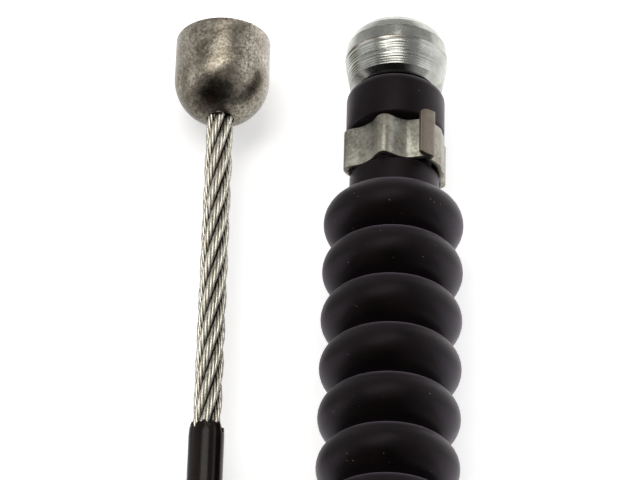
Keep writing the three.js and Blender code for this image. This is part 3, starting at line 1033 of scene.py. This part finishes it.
def wire_path(strand, wire):
    """Points of one wire; strand 0 is the core of the rope, and wire 0 the core of its strand."""
    strand_at = 0 if strand == 0 else STRAND_DIAMETER
    wire_at = 0 if wire == 0 else WIRE_DIAMETER
    steps = round((ROPE_TOP - ROPE_FOOT) / WIRE_STEP)
    points = []
    for i in range(steps + 1):
        place = ROPE_FOOT + (ROPE_TOP - ROPE_FOOT) * i / steps
        turn = 2 * math.pi * ((strand - 1) / ROUND_THE_CORE - (place - TOP) / ROPE_LAY)
        spin = 2 * math.pi * (wire / ROUND_THE_CORE + place / STRAND_LAY) - turn
        out = Vector((math.cos(turn), 0, math.sin(turn)))
        across = Vector((-math.sin(turn), 0, math.cos(turn)))
        offset = out * strand_at + (out * math.cos(spin) + across * math.sin(spin)) * wire_at
        points.append(Vector((LEFT[0], place * MM, LEFT[1])) + offset * MM)
    return points


def drawn_wires(name, strand):
    """The wires of one strand as a curve with a round bevel."""
    data = bpy.data.curves.new(name, "CURVE")
    data.dimensions = "3D"
    data.bevel_depth = WIRE_DIAMETER / 2 * WIRE_FILL * MM
    data.bevel_resolution = WIRE_ROUNDNESS
    data.use_fill_caps = True
    for wire in range(ROUND_THE_CORE + 1):
        path = wire_path(strand, wire)
        spline = data.splines.new("POLY")
        spline.points.add(len(path) - 1)
        for knot, point in zip(spline.points, path):
            knot.co = (*point, 1)
    return link(name + "_drawn", data)


def strand_of_wires(strand):
    name = "wires_core" if strand == 0 else f"wires_{strand}"
    drawn = drawn_wires(name, strand)
    settled = drawn.evaluated_get(bpy.context.evaluated_depsgraph_get())
    mesh = bpy.data.meshes.new_from_object(settled)
    bpy.data.objects.remove(drawn)
    mesh.materials.clear()
    mesh.materials.append(WIRE)
    piece = link(name, mesh)
    mesh.shade_smooth()
    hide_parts("rope_core" if strand == 0 else f"rope_strand_{strand}")
    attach(piece, "nipple_end")
    return len(mesh.polygons)


faces = [strand_of_wires(strand) for strand in range(ROUND_THE_CORE + 1)]
print("rope of", (ROUND_THE_CORE + 1) * len(faces), "wires,", sum(faces), "faces")

# %% [markdown]
# ## The coating of the inner cable
# Where the rope is left bare, the plastic coating was stripped back, and stripping tears its edge.
# We spin a tube with a socket for the rope and push the edge's points back and in by a coarse noise.

# %% The coated inner cable
COATING_RADIUS = 1.85
COATING_CUT = 0.2  # the radius at a cleanly cut end
COATING_STEPS = 72
COATED_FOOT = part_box("inner_cable_front")[0][1] / MM
COATED_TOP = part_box("inner_cable_front")[1][1] / MM
ROPE_DEEP = 4.0  # how deep the rope's socket goes
TORN_DEEP = 0.95
TORN_EVEN = 0.5  # how far the whole edge has drawn back, as a share of that
TORN_REACH = 1.3  # how far down from the edge the tear still shows
TORN_WIDE = 0.5
TORN_SEED = Vector((3, 1, 7))  # a place in the noise that tears the edge as in the photograph
TORN_CURL = 0.07  # shares by which the edge is drawn in, where it is torn and all round
TORN_PINCH = 0.03
TORN_RINGS = 8  # rings of points below the edge, so that it can bend
TORN_RING = 0.2
TORN_LIP = 0.1
TORN_ROUND = (0.05, 0.06)
SOCKET_SKIN = 0.05  # points this close to the socket's radius lie in it and stay


def tear_edge(made):
    for point in made.verts:
        place = point.co.y / MM
        if place < COATED_TOP - TORN_REACH:
            continue
        share = (place - COATED_TOP + TORN_REACH) / TORN_REACH
        across = Vector((point.co.x, 0, point.co.z)) / (TORN_WIDE * MM)
        torn = noise.noise(across + TORN_SEED)
        point.co.y -= (TORN_EVEN - torn) * TORN_DEEP * share * MM
        if off_middle(point) > ROPE_SOCKET + SOCKET_SKIN:
            widen(point, 1 - TORN_CURL * share * abs(torn) - TORN_PINCH * share)


def coated_cable():
    inward, down = TORN_ROUND
    rings = [COATED_TOP - TORN_RING * i for i in range(TORN_RINGS, 0, -1)]
    outline = [
        (0, COATED_FOOT),
        (COATING_RADIUS, COATED_FOOT, COATING_CUT),
        *[(COATING_RADIUS, place) for place in rings],
        (COATING_RADIUS - inward, COATED_TOP - down),
        (ROPE_SOCKET + TORN_LIP, COATED_TOP),
        (ROPE_SOCKET, COATED_TOP - TORN_LIP),
        (ROPE_SOCKET, COATED_TOP - ROPE_DEEP),
        (0, COATED_TOP - ROPE_DEEP),
    ]
    made = spun(rounded(outline), COATING_STEPS)
    tear_edge(made)
    node = ["inner_cable_front"]
    settle(made, "coated_cable", COATING, "nipple_end", LEFT, node, sharp=50)


coated_cable()

# %% [markdown]
# ## The end fitting
# The brake's lever holds this turned steel end. Its ball is barrel-shaped: a tapered foot beside the
# rubber, a long crown that still shows the lathe's rings, a plain band, and a rounded shoulder up to
# the end face. The rings are cut into the profile, at uneven steps as a hand-fed tool leaves them.

# %% The end fitting
BALL_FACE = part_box("end_fitting")[1][1] / MM
BALL_LENGTH = 7.35
BALL_FOOT = BALL_FACE - BALL_LENGTH
CROWN = [(4.3, 0.0), (5.0, 0.7), (5.33, 2.3), (5.55, 3.85)]  # radius, and how far above the ball's foot
CROWN_EDGE = 0.05
SHOULDER = [(5.42, 5.3, 0.15), (4.98, 6.3, 0.6), (4.45, 6.95, 0.4)]
FACE_RADIUS = 3.9
BALL_EDGE = 0.1
RINGS_FROM = 0.1  # above the crown's second corner
RINGS_TO = 0.25  # below its last one
RING_DEEP = 0.022
RING_DEPTHS = (0.3, 1.0)  # the shallowest and the deepest ring, as shares of that
RING_SHAPE = [(0.0, 0.0), (0.07, 1.0), (0.13, 0.4)]  # how far up, and the share of the depth there
RING_WIDE = 0.18
RING_STEP = 0.34
RING_STEPS = (0.65, 1.5)  # the least and the most, as shares of that
RING_SEED = 4
FITTING_STEPS = 160
FITTING_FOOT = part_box("end_fitting")[0][1] / MM
SHANK_RADIUS = 2.6
SHANK_EDGE = 0.15
CABLE_SOCKET = 1.93
CABLE_DEEP = 4.0


def crown_radius(place):
    """The crown's radius, by straight stretches between its corners."""
    for (low_radius, low), (high_radius, high) in zip(CROWN, CROWN[1:]):
        if place <= high:
            return low_radius + (high_radius - low_radius) * (place - low) / (high - low)
    return CROWN[-1][0]


def tool_rings():
    """The crown with shallow grooves at uneven steps."""
    chance = random.Random(RING_SEED)
    corners, place = [], CROWN[1][1] + RINGS_FROM
    while place < CROWN[-1][1] - RINGS_TO:
        deep, radius = RING_DEEP * chance.uniform(*RING_DEPTHS), crown_radius(place)
        corners += [(radius - deep * share, BALL_FOOT + place + up) for up, share in RING_SHAPE]
        corners.append((crown_radius(place + RING_WIDE), BALL_FOOT + place + RING_WIDE))
        place += RING_STEP * chance.uniform(*RING_STEPS)
    return corners


def end_fitting():
    outline = [
        (0, FITTING_FOOT + CABLE_DEEP),
        (CABLE_SOCKET, FITTING_FOOT + CABLE_DEEP),
        (CABLE_SOCKET, FITTING_FOOT),
        (SHANK_RADIUS, FITTING_FOOT, SHANK_EDGE),
        (SHANK_RADIUS, BALL_FOOT),
        (CROWN[0][0], BALL_FOOT, BALL_EDGE),
        (CROWN[1][0], BALL_FOOT + CROWN[1][1], BALL_EDGE),
        *tool_rings(),
        (CROWN[-1][0], BALL_FOOT + CROWN[-1][1], CROWN_EDGE),
        *[(radius, BALL_FOOT + place, size) for radius, place, size in SHOULDER],
        (FACE_RADIUS, BALL_FACE, BALL_EDGE),
        (0, BALL_FACE),
    ]
    made = spun(rounded(outline), FITTING_STEPS)
    lean(made)
    settle(made, "turned_end", TURNED, "ball_end", RIGHT, ["end_fitting"], sharp=30)


end_fitting()

# %% [markdown]
# ## The bellows
# The bellows keeps dirt out of the conduit and folds up as the cable is pulled. Its wall is one thin
# skin, so we spin one closed profile: up the outside over every convolution, over the collar's
# rounded rim, and back down the inside. Under the clamp the rubber is squeezed into the band's waves.

# %% The bellows
BELLOWS_RADIUS = 7.37
CONVOLUTIONS = 8
PITCH = 5.73
VALLEY_RADIUS = 4.6
WALL = 0.8
CUFF_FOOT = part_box("bellows")[0][1] / MM
CUFF_LENGTH = 10.5
CUFF_RADIUS = 5.6
CUFF_EDGE = 0.5
CUFF_HOLLOW = 0.3  # the radius where the first convolution rises from the cuff
CUFF_BORE = 4.3
BEAD_PLACE = DATUM + 23.2
BEAD_HIGH = 0.4
BEAD_HALF = 1.1
COLLAR_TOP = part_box("bellows")[1][1] / MM
COLLAR_RADIUS = 5.25
COLLAR_EDGE = 0.5
COLLAR_RIM = 1.15
COLLAR_BORE = 2.9
BORE_FROM = 2.4  # above the last convolution
NECK_RADIUS = 4.77
NECK_FROM = 0.4
NECK_HOLLOW = 0.3
INSIDE_NECK_RADIUS = 3.17
BELLOWS_STEPS = 128
CORNER_STEPS = 5
FOLDS_FROM = CUFF_FOOT + CUFF_LENGTH
FOLDS_TO = FOLDS_FROM + CONVOLUTIONS * PITCH
FOLD_FILL = 0.985  # a crest's share of its room; the rest is the sharp hollow
FOLD_SIZE = PITCH / 2 * FOLD_FILL
CREST_ENDS_AT = 80  # degrees from the crest, where the sharp hollow begins
FIRST_CREST_FROM = -60
CREST_INSIDE_ENDS_AT = 66
CREST_STEPS = 16
CREST_INSIDE_STEPS = 6


def fold(number):
    """The outside of one convolution and the sharp hollow after it."""
    middle = FOLDS_FROM + (number + 0.5) * PITCH
    first = FIRST_CREST_FROM if number == 0 else -CREST_ENDS_AT
    at = BELLOWS_RADIUS - FOLD_SIZE
    crest = arc(at, middle, FOLD_SIZE, first, CREST_ENDS_AT, CREST_STEPS)
    return crest if number == CONVOLUTIONS - 1 else [*crest, (VALLEY_RADIUS, middle + PITCH / 2)]


def fold_inside(number):
    middle = FOLDS_FROM + (number + 0.5) * PITCH
    at, size, ends_at = BELLOWS_RADIUS - FOLD_SIZE, FOLD_SIZE - WALL, CREST_INSIDE_ENDS_AT
    crest = arc(at, middle, size, ends_at, -ends_at, CREST_INSIDE_STEPS)
    if number == CONVOLUTIONS - 1:
        return crest
    return [(VALLEY_RADIUS - WALL, middle + PITCH / 2), *crest]


# %% [markdown]
# ## The clamp's line
# The rubber under the clamp is pressed into the clamp's own waves, so the line of the clamp comes
# first. It is one formula: a circle with six waves whose crests are sharper than their hollows. At the
# inner end it flares out a little, and towards the outer end it rises by one sheet and a small gap,
# where the strip laps over itself. The rubber and the strip both read it.

# %% The clamp's line, which the rubber under it follows
CLAMP_RADIUS = 4.64
CLAMP_SHEET = 0.55
CLAMP_WAVE = 0.6
CREST_SHARP = 0.12  # what makes the crests narrower than the hollows
CLAMP_WAVES = 6
CREST_AT = 15
FLARE = 0.5  # how far the inner end is pressed out under the ear
FLARE_FROM = -14
FLARE_OVER = 16
LAP_FROM = 262
LAP_RISE = 18
LAP_GAP = 0.3
LAP_RADIUS = 5.2
EAR_MORE_BELLOWS_SIDE = 0.3
EAR_MORE_BALL_SIDE = 0.5
CLAMP_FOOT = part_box("band_clamp")[0][1] / MM + EAR_MORE_BELLOWS_SIDE
CLAMP_WIDTH = 4.65
GROOVE_RADIUS = 4.0
GROOVE_EDGE = 0.1
GROOVE_ROOM = 0.3  # beside the clamp, at each of its edges
GROOVE_FROM = CLAMP_FOOT - GROOVE_ROOM
GROOVE_TO = CLAMP_FOOT + CLAMP_WIDTH + GROOVE_ROOM
GROOVE_RINGS = 5
NEAR_GROOVE = (0.05, 0.5)  # points this close to it along and across the cable are its own
RUBBER_GAP = 0.04  # between the sheet and the rubber, so that neither shows through the other


def waved(angle):
    """The clamp's radius without its lap, at an angle in degrees from the top towards the nipple."""
    phase = CLAMP_WAVES * math.radians(angle - CREST_AT)
    return CLAMP_RADIUS + CLAMP_WAVE * math.cos(phase) + CREST_SHARP * math.cos(2 * phase)


def clamp_radius(angle):
    """The middle of the clamp's sheet."""
    flare = smooth((FLARE_FROM - angle) / FLARE_OVER) * FLARE
    laid = waved(angle) + flare + smooth((angle - LAP_FROM) / LAP_RISE) * (CLAMP_SHEET + LAP_GAP)
    return min(laid, LAP_RADIUS) if angle > LAP_FROM else laid


def squeeze_collar(made):
    """Pushes the rubber under the band out until it lies close behind the sheet."""
    middle, half = (GROOVE_FROM + GROOVE_TO) / 2, (GROOVE_TO - GROOVE_FROM) / 2
    along, across = NEAR_GROOVE
    for point in made.verts:
        radius = off_middle(point)
        in_groove = abs(point.co.y / MM - middle) < half + along
        if in_groove and abs(radius - GROOVE_RADIUS) < across:
            widen(point, (waved(angle_of(point)) - CLAMP_SHEET / 2 - RUBBER_GAP) / radius)


# %% [markdown]
# ## The skin of the bellows
# The profile runs up the outside from the cuff to the collar's rim and comes back down the inside, one
# wall thickness in. Spun once, it is a closed skin.

# %% Spinning the bellows
def bellows_outside():
    """Corners from the cuff up over the convolutions, the groove under the clamp and the rim."""
    step = (GROOVE_TO - GROOVE_FROM) / (GROOVE_RINGS - 1)
    corners = [
        (CUFF_BORE, CUFF_FOOT),
        (CUFF_RADIUS, CUFF_FOOT, CUFF_EDGE),
        (CUFF_RADIUS, FOLDS_FROM, CUFF_HOLLOW),
        *(corner for number in range(CONVOLUTIONS) for corner in fold(number)),
        (NECK_RADIUS, FOLDS_TO + NECK_FROM, NECK_HOLLOW),
        (NECK_RADIUS, GROOVE_FROM, GROOVE_EDGE),
        *[(GROOVE_RADIUS, GROOVE_FROM + step * i) for i in range(GROOVE_RINGS)],
        (COLLAR_RADIUS, GROOVE_TO, COLLAR_EDGE),
        (COLLAR_RADIUS, COLLAR_TOP, COLLAR_RIM),
        (COLLAR_BORE, COLLAR_TOP),
    ]
    return rounded(corners, CORNER_STEPS)


def bellows_inside():
    """Corners from the collar's bore back down to the cuff, with the hollow for the ferrule's ridge."""
    corners = [
        (COLLAR_BORE, FOLDS_TO + BORE_FROM),
        (INSIDE_NECK_RADIUS, FOLDS_TO),
        *(corner for number in reversed(range(CONVOLUTIONS)) for corner in fold_inside(number)),
        (CUFF_BORE, FOLDS_FROM),
        (CUFF_BORE, BEAD_PLACE + BEAD_HALF),
        (CUFF_BORE + BEAD_HIGH, BEAD_PLACE),
        (CUFF_BORE, BEAD_PLACE - BEAD_HALF),
    ]
    return [Vector(corner) for corner in corners]


def bellows():
    made = spun([*bellows_outside(), *bellows_inside()], BELLOWS_STEPS, closed=True)
    squeeze_collar(made)
    lean(made)
    piece = settle(made, "rubber_bellows", RUBBER, None, RIGHT, ["bellows"], sharp=60)
    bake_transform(piece)


bellows()

# %% [markdown]
# ## The waved clamp
# The clamp is one strip of thin steel, rolled round the collar until its outer end laps over its inner
# end, and pressed into six waves that grip the rubber. The pliers that close it pinch its outer end up
# into a flat ear. We draw the strip's outer face as a chain of points, extrude it along the axis,
# widen the ear, and give the sheet its thickness last.


# %% The waved clamp
STARTS_AT = -36
ENDS_AT = 337
STRIP_STEP = 2
EAR_FROM = 321
EAR_RADIUS = 6.35
EAR_BEND = [(318.6, 5.3), (320.3, 5.6), (320.7, 6.0), (321.4, 6.27), (323.0, EAR_RADIUS)]
BAND_TO = EAR_FROM - 3
FLAT_FROM = EAR_FROM + 4
FLAT_STEP = 3
SHEET_EDGE = 0.08
EAR_CORNER = 7  # degrees of the ear's free end over which its corners are rounded
CORNER_FULL = 0.95  # how far round a corner goes, short of a right angle to the rim
SLACK = 1  # degree, so that points on a limit count


def strip_line():
    """Angle and radius of the middle of the sheet, from the strip's inner end to its outer end."""
    band = [(angle, clamp_radius(angle)) for angle in range(STARTS_AT, BAND_TO, STRIP_STEP)]
    flat = [(angle, EAR_RADIUS) for angle in range(FLAT_FROM, ENDS_AT + SLACK, FLAT_STEP)]
    return [*band, *EAR_BEND, *flat]


def points_in(geometry):
    return [part for part in geometry if isinstance(part, bmesh.types.BMVert)]


def moved_copy(made, edges, along_mm):
    """Extrudes the edges and moves the new ones along the cable."""
    grown = bmesh.ops.extrude_edge_only(made, edges=edges)["geom"]
    bmesh.ops.translate(made, verts=points_in(grown), vec=(0, along_mm * MM, 0))
    return [part for part in grown if isinstance(part, bmesh.types.BMEdge)]


def raised(point):
    """Whether a point of the strip stands on the ear."""
    on_ear = EAR_FROM - SLACK < angle_of(point) % 360 < ENDS_AT + SLACK
    return on_ear and off_middle(point) > EAR_RADIUS - CLAMP_SHEET


def round_corner(edges, widened_mm):
    """Draws the widened rim back towards the strip at the ear's free end."""
    for point in {point for edge in edges for point in edge.verts}:
        share = (angle_of(point) % 360 - ENDS_AT + EAR_CORNER) / EAR_CORNER
        share = min(max(share, 0.0), CORNER_FULL)
        point.co.y -= widened_mm * (1 - math.sqrt(1 - share**2)) * MM


def band_clamp():
    made = bmesh.new()
    chain = []
    for angle, radius in strip_line():
        turned_by, out = math.radians(angle), (radius + CLAMP_SHEET / 2) * MM
        at = (-out * math.sin(turned_by), CLAMP_FOOT * MM, out * math.cos(turned_by))
        chain.append(made.verts.new(at))
    foot = [made.edges.new(pair) for pair in zip(chain, chain[1:])]
    top = moved_copy(made, foot, CLAMP_WIDTH)
    for rim, widened in ((foot, -EAR_MORE_BELLOWS_SIDE), (top, EAR_MORE_BALL_SIDE)):
        ear = [edge for edge in rim if all(raised(point) for point in edge.verts)]
        round_corner(moved_copy(made, ear, widened), widened)
    bmesh.ops.recalc_face_normals(made, faces=made.faces)
    bmesh.ops.solidify(made, geom=made.faces, thickness=CLAMP_SHEET * MM)
    bmesh.ops.recalc_face_normals(made, faces=made.faces)
    radii = [off_middle(point) for point in made.verts]
    print("clamp from", round(min(radii), 2), "to", round(max(radii), 2), "mm")
    beveled(made, SHEET_EDGE)
    lean(made)
    settle(made, "waved_clamp", STRIP, "ball_end", RIGHT, ["band_clamp"])


band_clamp()

# %% [markdown]
# ## The ferrules
# A ferrule is a drawn steel cup pressed onto each end of the conduit, with a nose that carries the
# bellows' cuff at the rear. A crimping tool with eight jaws closes three grooves round it, and a thin
# rib of metal rises between each two jaws. We spin the profile and then lift those ribs out of the
# grooves.

# %% The ferrules
FERRULE_RADIUS = 5.1
FERRULE_BODY = 18.0
FERRULE_RIM = 0.5
FERRULE_SHOULDER = 0.45
FERRULE_SOCKET = 4.05
SOCKET_LENGTH = 8.0
NOSE_RADIUS = 4.0
NOSE_FOOT = 0.15
NOSE_TIP = 0.4
FERRULE_BORE = 3.05
FERRULE_TIP = 28.0
CRIMPS = [2.0, 4.2, 6.4]  # where each groove begins, from the conduit's end of the ferrule
CRIMP_WIDTH = 1.1
CRIMP_DEEP = 0.3
CRIMP_EDGE = 0.12
GROOVE_SKIN = 0.01  # points this close to the groove's own radius lie in it
JAWS = 8
RIB_HIGH = 0.22
FERRULE_STEPS = 96
RIDGE_HALF = 0.8  # half the width of the ridge that the cuff snaps over
RIDGE_FOOT = 0.1
RIDGE_TOP = 0.3


def crimp(foot):
    """One groove, whose floor is the middle third of its width."""
    low, floor = DATUM + foot, FERRULE_RADIUS - CRIMP_DEEP
    return [
        (FERRULE_RADIUS, low, CRIMP_EDGE),
        (floor, low + CRIMP_WIDTH / 3, CRIMP_EDGE),
        (floor, low + 2 * CRIMP_WIDTH / 3, CRIMP_EDGE),
        (FERRULE_RADIUS, low + CRIMP_WIDTH, CRIMP_EDGE),
    ]


def raise_ribs(made):
    """Lifts the grooves' points that lie where two jaws of the crimping tool meet."""
    jaw = 2 * math.pi / JAWS
    floor, crimped_to = FERRULE_RADIUS - CRIMP_DEEP, DATUM + CRIMPS[-1] + CRIMP_WIDTH
    for point in made.verts:
        radius = off_middle(point)
        off = abs((math.atan2(point.co.x, point.co.z) + jaw / 2) % jaw - jaw / 2)
        in_groove = floor - GROOVE_SKIN < radius < FERRULE_RADIUS - CRIMP_DEEP / 2
        if in_groove and point.co.y / MM < crimped_to and off < math.pi / FERRULE_STEPS:
            widen(point, 1 + RIB_HIGH / radius)


def ferrule(name, node, axis, ridge):
    """ridge is the one round the nose that the bellows' cuff snaps over, as corners."""
    outside = [
        (FERRULE_SOCKET, DATUM),
        (FERRULE_RADIUS, DATUM, FERRULE_RIM),
        *(corner for foot in CRIMPS for corner in crimp(foot)),
        (FERRULE_RADIUS, DATUM + FERRULE_BODY, FERRULE_SHOULDER),
        (NOSE_RADIUS, DATUM + FERRULE_BODY, NOSE_FOOT),
        *ridge,
        (NOSE_RADIUS, DATUM + FERRULE_TIP, NOSE_TIP),
        (FERRULE_BORE, DATUM + FERRULE_TIP),
    ]
    inside = [(FERRULE_BORE, DATUM + SOCKET_LENGTH), (FERRULE_SOCKET, DATUM + SOCKET_LENGTH)]
    profile = [*rounded(outside), *(Vector(corner) for corner in inside)]
    made = spun(profile, FERRULE_STEPS, closed=True)
    raise_ribs(made)
    settle(made, name, PLATED, "casing", axis, [node])


CUFF_RIDGE = [
    (NOSE_RADIUS, BEAD_PLACE - RIDGE_HALF, RIDGE_FOOT),
    (NOSE_RADIUS + BEAD_HIGH, BEAD_PLACE, RIDGE_TOP),
    (NOSE_RADIUS, BEAD_PLACE + RIDGE_HALF, RIDGE_FOOT),
]
ferrule("crimped_ferrule_front", "ferrule_front", LEFT, [])
ferrule("crimped_ferrule_rear", "ferrule_rear", RIGHT, CUFF_RIDGE)

# %% [markdown]
# ## The liner and the rear inner cable
# A low-friction plastic tube lines the conduit, and its ends stand a little out of the ferrules. The
# coated inner cable slides in it and ends in the shank of the end fitting, inside the bellows.

# %% The liner's ends and the rear inner cable
LINER_BORE = 2.15
LINER_RADIUS = 2.75
LINER_HIDDEN_EDGE = 0.1
LINER_EDGE = 0.18
LINER_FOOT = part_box("liner_front")[0][1] / MM
LINER_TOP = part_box("liner_front")[1][1] / MM
REAR_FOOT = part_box("inner_cable_rear")[0][1] / MM
REAR_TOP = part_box("inner_cable_rear")[1][1] / MM
REAR_PARTS = 20  # rings of points along it, so that it can lean with the bellows
THIN_STEPS = 64


def liner_end(name, node, axis):
    corners = [
        (LINER_BORE, LINER_FOOT),
        (LINER_RADIUS, LINER_FOOT, LINER_HIDDEN_EDGE),
        (LINER_RADIUS, LINER_TOP, LINER_EDGE),
        (LINER_BORE, LINER_TOP),
    ]
    made = spun(rounded(corners), THIN_STEPS, closed=True)
    settle(made, name, LINER, "casing", axis, [node])


def rear_cable():
    step = (REAR_TOP - REAR_FOOT) / REAR_PARTS
    outline = [
        (0, REAR_FOOT),
        (COATING_RADIUS, REAR_FOOT, COATING_CUT),
        *[(COATING_RADIUS, REAR_FOOT + step * i) for i in range(1, REAR_PARTS)],
        (COATING_RADIUS, REAR_TOP, COATING_CUT),
        (0, REAR_TOP),
    ]
    made = spun(rounded(outline), THIN_STEPS)
    lean(made)
    node = ["inner_cable_rear"]
    settle(made, "coated_cable_rear", COATING, "ball_end", RIGHT, node)


liner_end("liner_tube_front", "liner_front", LEFT)
liner_end("liner_tube_rear", "liner_rear", RIGHT)
rear_cable()

# %% [markdown]
# ## The ties
# Two nylon ties hold the coil. A tie is a toothed strap, pulled through a small square head until it
# grips. We draw the strap's outer face round the bundle of turns, extrude it to the strap's width and
# give it thickness; the head is a beveled block with a sunk mouth, and the tail keeps its teeth.

# %% The ties
TIE_THICK = 1.1
TIE_WIDTH = 2.6
TIE_CLEAR = 0.3  # between the strap and the turns
TIE_HEAD = 4.6
TIE_HEAD_DEEP = 3.2
TIE_TAIL = 9.0
TIE_EDGE = 0.12
HEAD_EDGE = 0.3
HEAD_WALL = 0.65
MOUTH_DEEP = 0.9
TOOTH = 0.45
TOOTH_HIGH = 0.12
TOOTH_RISE = 0.8  # the share of a tooth over which it rises, before it drops
TAIL_TIP = (0.5, 0.4, 0.3)  # how far the tail's tip tapers: down, on its outside and on its inside
STRAP_STEPS = 8
TIES_AT = (215, 325)  # degrees round the coil
BUNDLE = (2 * CONDUIT, 3 * CONDUIT)  # its width and height
COIL_MIDDLE = COIL_FOOT + BUNDLE[1] / 2
FACES_UP = 0.9  # how much of a face's normal points up, where the face counts as a top


def ring_of_strap(margin):
    """Corners of the strap round the bundle, as (outward, up) from the bundle's middle."""
    size = CONDUIT / 2 + margin
    corners = []
    for quarter, (side, up) in enumerate([(1, -1), (1, 1), (-1, 1), (-1, -1)]):
        middle = (side * (BUNDLE[0] / 2 - CONDUIT / 2), up * (BUNDLE[1] / 2 - CONDUIT / 2))
        corners += arc(*middle, size, 90 * (quarter - 1), 90 * quarter, STRAP_STEPS)
    return corners


def closed_chain(made, corners):
    """Edges of a closed outline on the strap's near side, from (outward, up) pairs."""
    start = -TIE_WIDTH / 2 * MM
    chain = [made.verts.new((out * MM, start, up * MM)) for out, up in corners]
    return [made.edges.new(pair) for pair in zip(chain, [*chain[1:], chain[0]])]


def joined(whole, part):
    """Moves the bmesh part into the bmesh whole."""
    mesh = bpy.data.meshes.new("part")
    part.to_mesh(mesh)
    part.free()
    whole.from_mesh(mesh)
    bpy.data.meshes.remove(mesh)


def strap():
    made = bmesh.new()
    moved_copy(made, closed_chain(made, ring_of_strap(TIE_CLEAR + TIE_THICK)), TIE_WIDTH)
    bmesh.ops.recalc_face_normals(made, faces=made.faces)
    bmesh.ops.solidify(made, geom=made.faces, thickness=TIE_THICK * MM)
    bmesh.ops.recalc_face_normals(made, faces=made.faces)
    beveled(made, TIE_EDGE)
    return made


def pulled_out(made, faces, by):
    """Extrudes faces and moves the new ones, as (x, y, z) in millimetres."""
    grown = bmesh.ops.extrude_face_region(made, geom=faces)["geom"]
    bmesh.ops.translate(made, verts=points_in(grown), vec=Vector(by) * MM)


def tie_head(side):
    """A block with a sunk mouth where the tail comes out."""
    made = bmesh.new()
    bmesh.ops.create_cube(made, size=MM)
    bmesh.ops.scale(made, verts=made.verts, vec=(TIE_HEAD_DEEP, TIE_HEAD, TIE_HEAD))
    middle = side + (TIE_HEAD_DEEP - TIE_THICK) / 2
    bmesh.ops.translate(made, verts=made.verts, vec=(middle * MM, 0, 0))
    made.faces.ensure_lookup_table()
    top = [face for face in made.faces if face.normal.z > FACES_UP]
    bmesh.ops.inset_region(made, faces=top, thickness=HEAD_WALL * MM)
    pulled_out(made, top, (0, 0, -MOUTH_DEEP))
    bmesh.ops.delete(made, geom=top, context="FACES")
    bmesh.ops.recalc_face_normals(made, faces=made.faces)
    beveled(made, HEAD_EDGE)
    return made


def tie_tail(side):
    """The strap's end above the head, with its teeth towards the coil."""
    made = bmesh.new()
    outer = side + (TIE_HEAD_DEEP + TIE_THICK) / 2
    inner = outer - TIE_THICK
    teeth = []
    for tooth in range(int(TIE_TAIL / TOOTH) - 1):
        teeth += [(inner, tooth * TOOTH), (inner + TOOTH_HIGH, (tooth + TOOTH_RISE) * TOOTH)]
    down, off_outside, off_inside = TAIL_TIP
    outline = [
        (outer, 0),
        (outer, TIE_TAIL - down),
        (outer - off_outside, TIE_TAIL),
        (inner + off_inside, TIE_TAIL),
        *teeth[::-1],
    ]
    flat = bmesh.ops.edgeloop_fill(made, edges=closed_chain(made, outline))["faces"]
    pulled_out(made, flat, (0, TIE_WIDTH, 0))
    bmesh.ops.recalc_face_normals(made, faces=made.faces)
    return made


def coil_tie(number, angle):
    side = BUNDLE[0] / 2 + TIE_CLEAR + TIE_THICK
    made = strap()
    joined(made, tie_head(side))
    joined(made, tie_tail(side))
    turned_by = math.radians(angle)
    turn = Matrix.Rotation(turned_by, 3, "Z")
    bmesh.ops.rotate(made, verts=made.verts, cent=(0, 0, 0), matrix=turn)
    at = Vector((*COIL_CENTRE, COIL_MIDDLE)) * MM
    at += Vector((math.cos(turned_by), math.sin(turned_by), 0)) * COIL_RADIUS * MM
    bmesh.ops.translate(made, verts=made.verts, vec=at)
    name, node = f"nylon_tie_{number}", f"coil_tie_{number}"
    return settle(made, name, TIE, "casing", (0, 0), [node], sharp=35)


ties = [coil_tie(number, angle) for number, angle in enumerate(TIES_AT, 1)]

# %% [markdown]
# ## The jacket
# The conduit was drawn first, before there was a finish for it, so it gets its jacket now. A curve
# takes a material as a mesh does.

# %% Dressing the conduit
conduit.data.materials.append(JACKET)
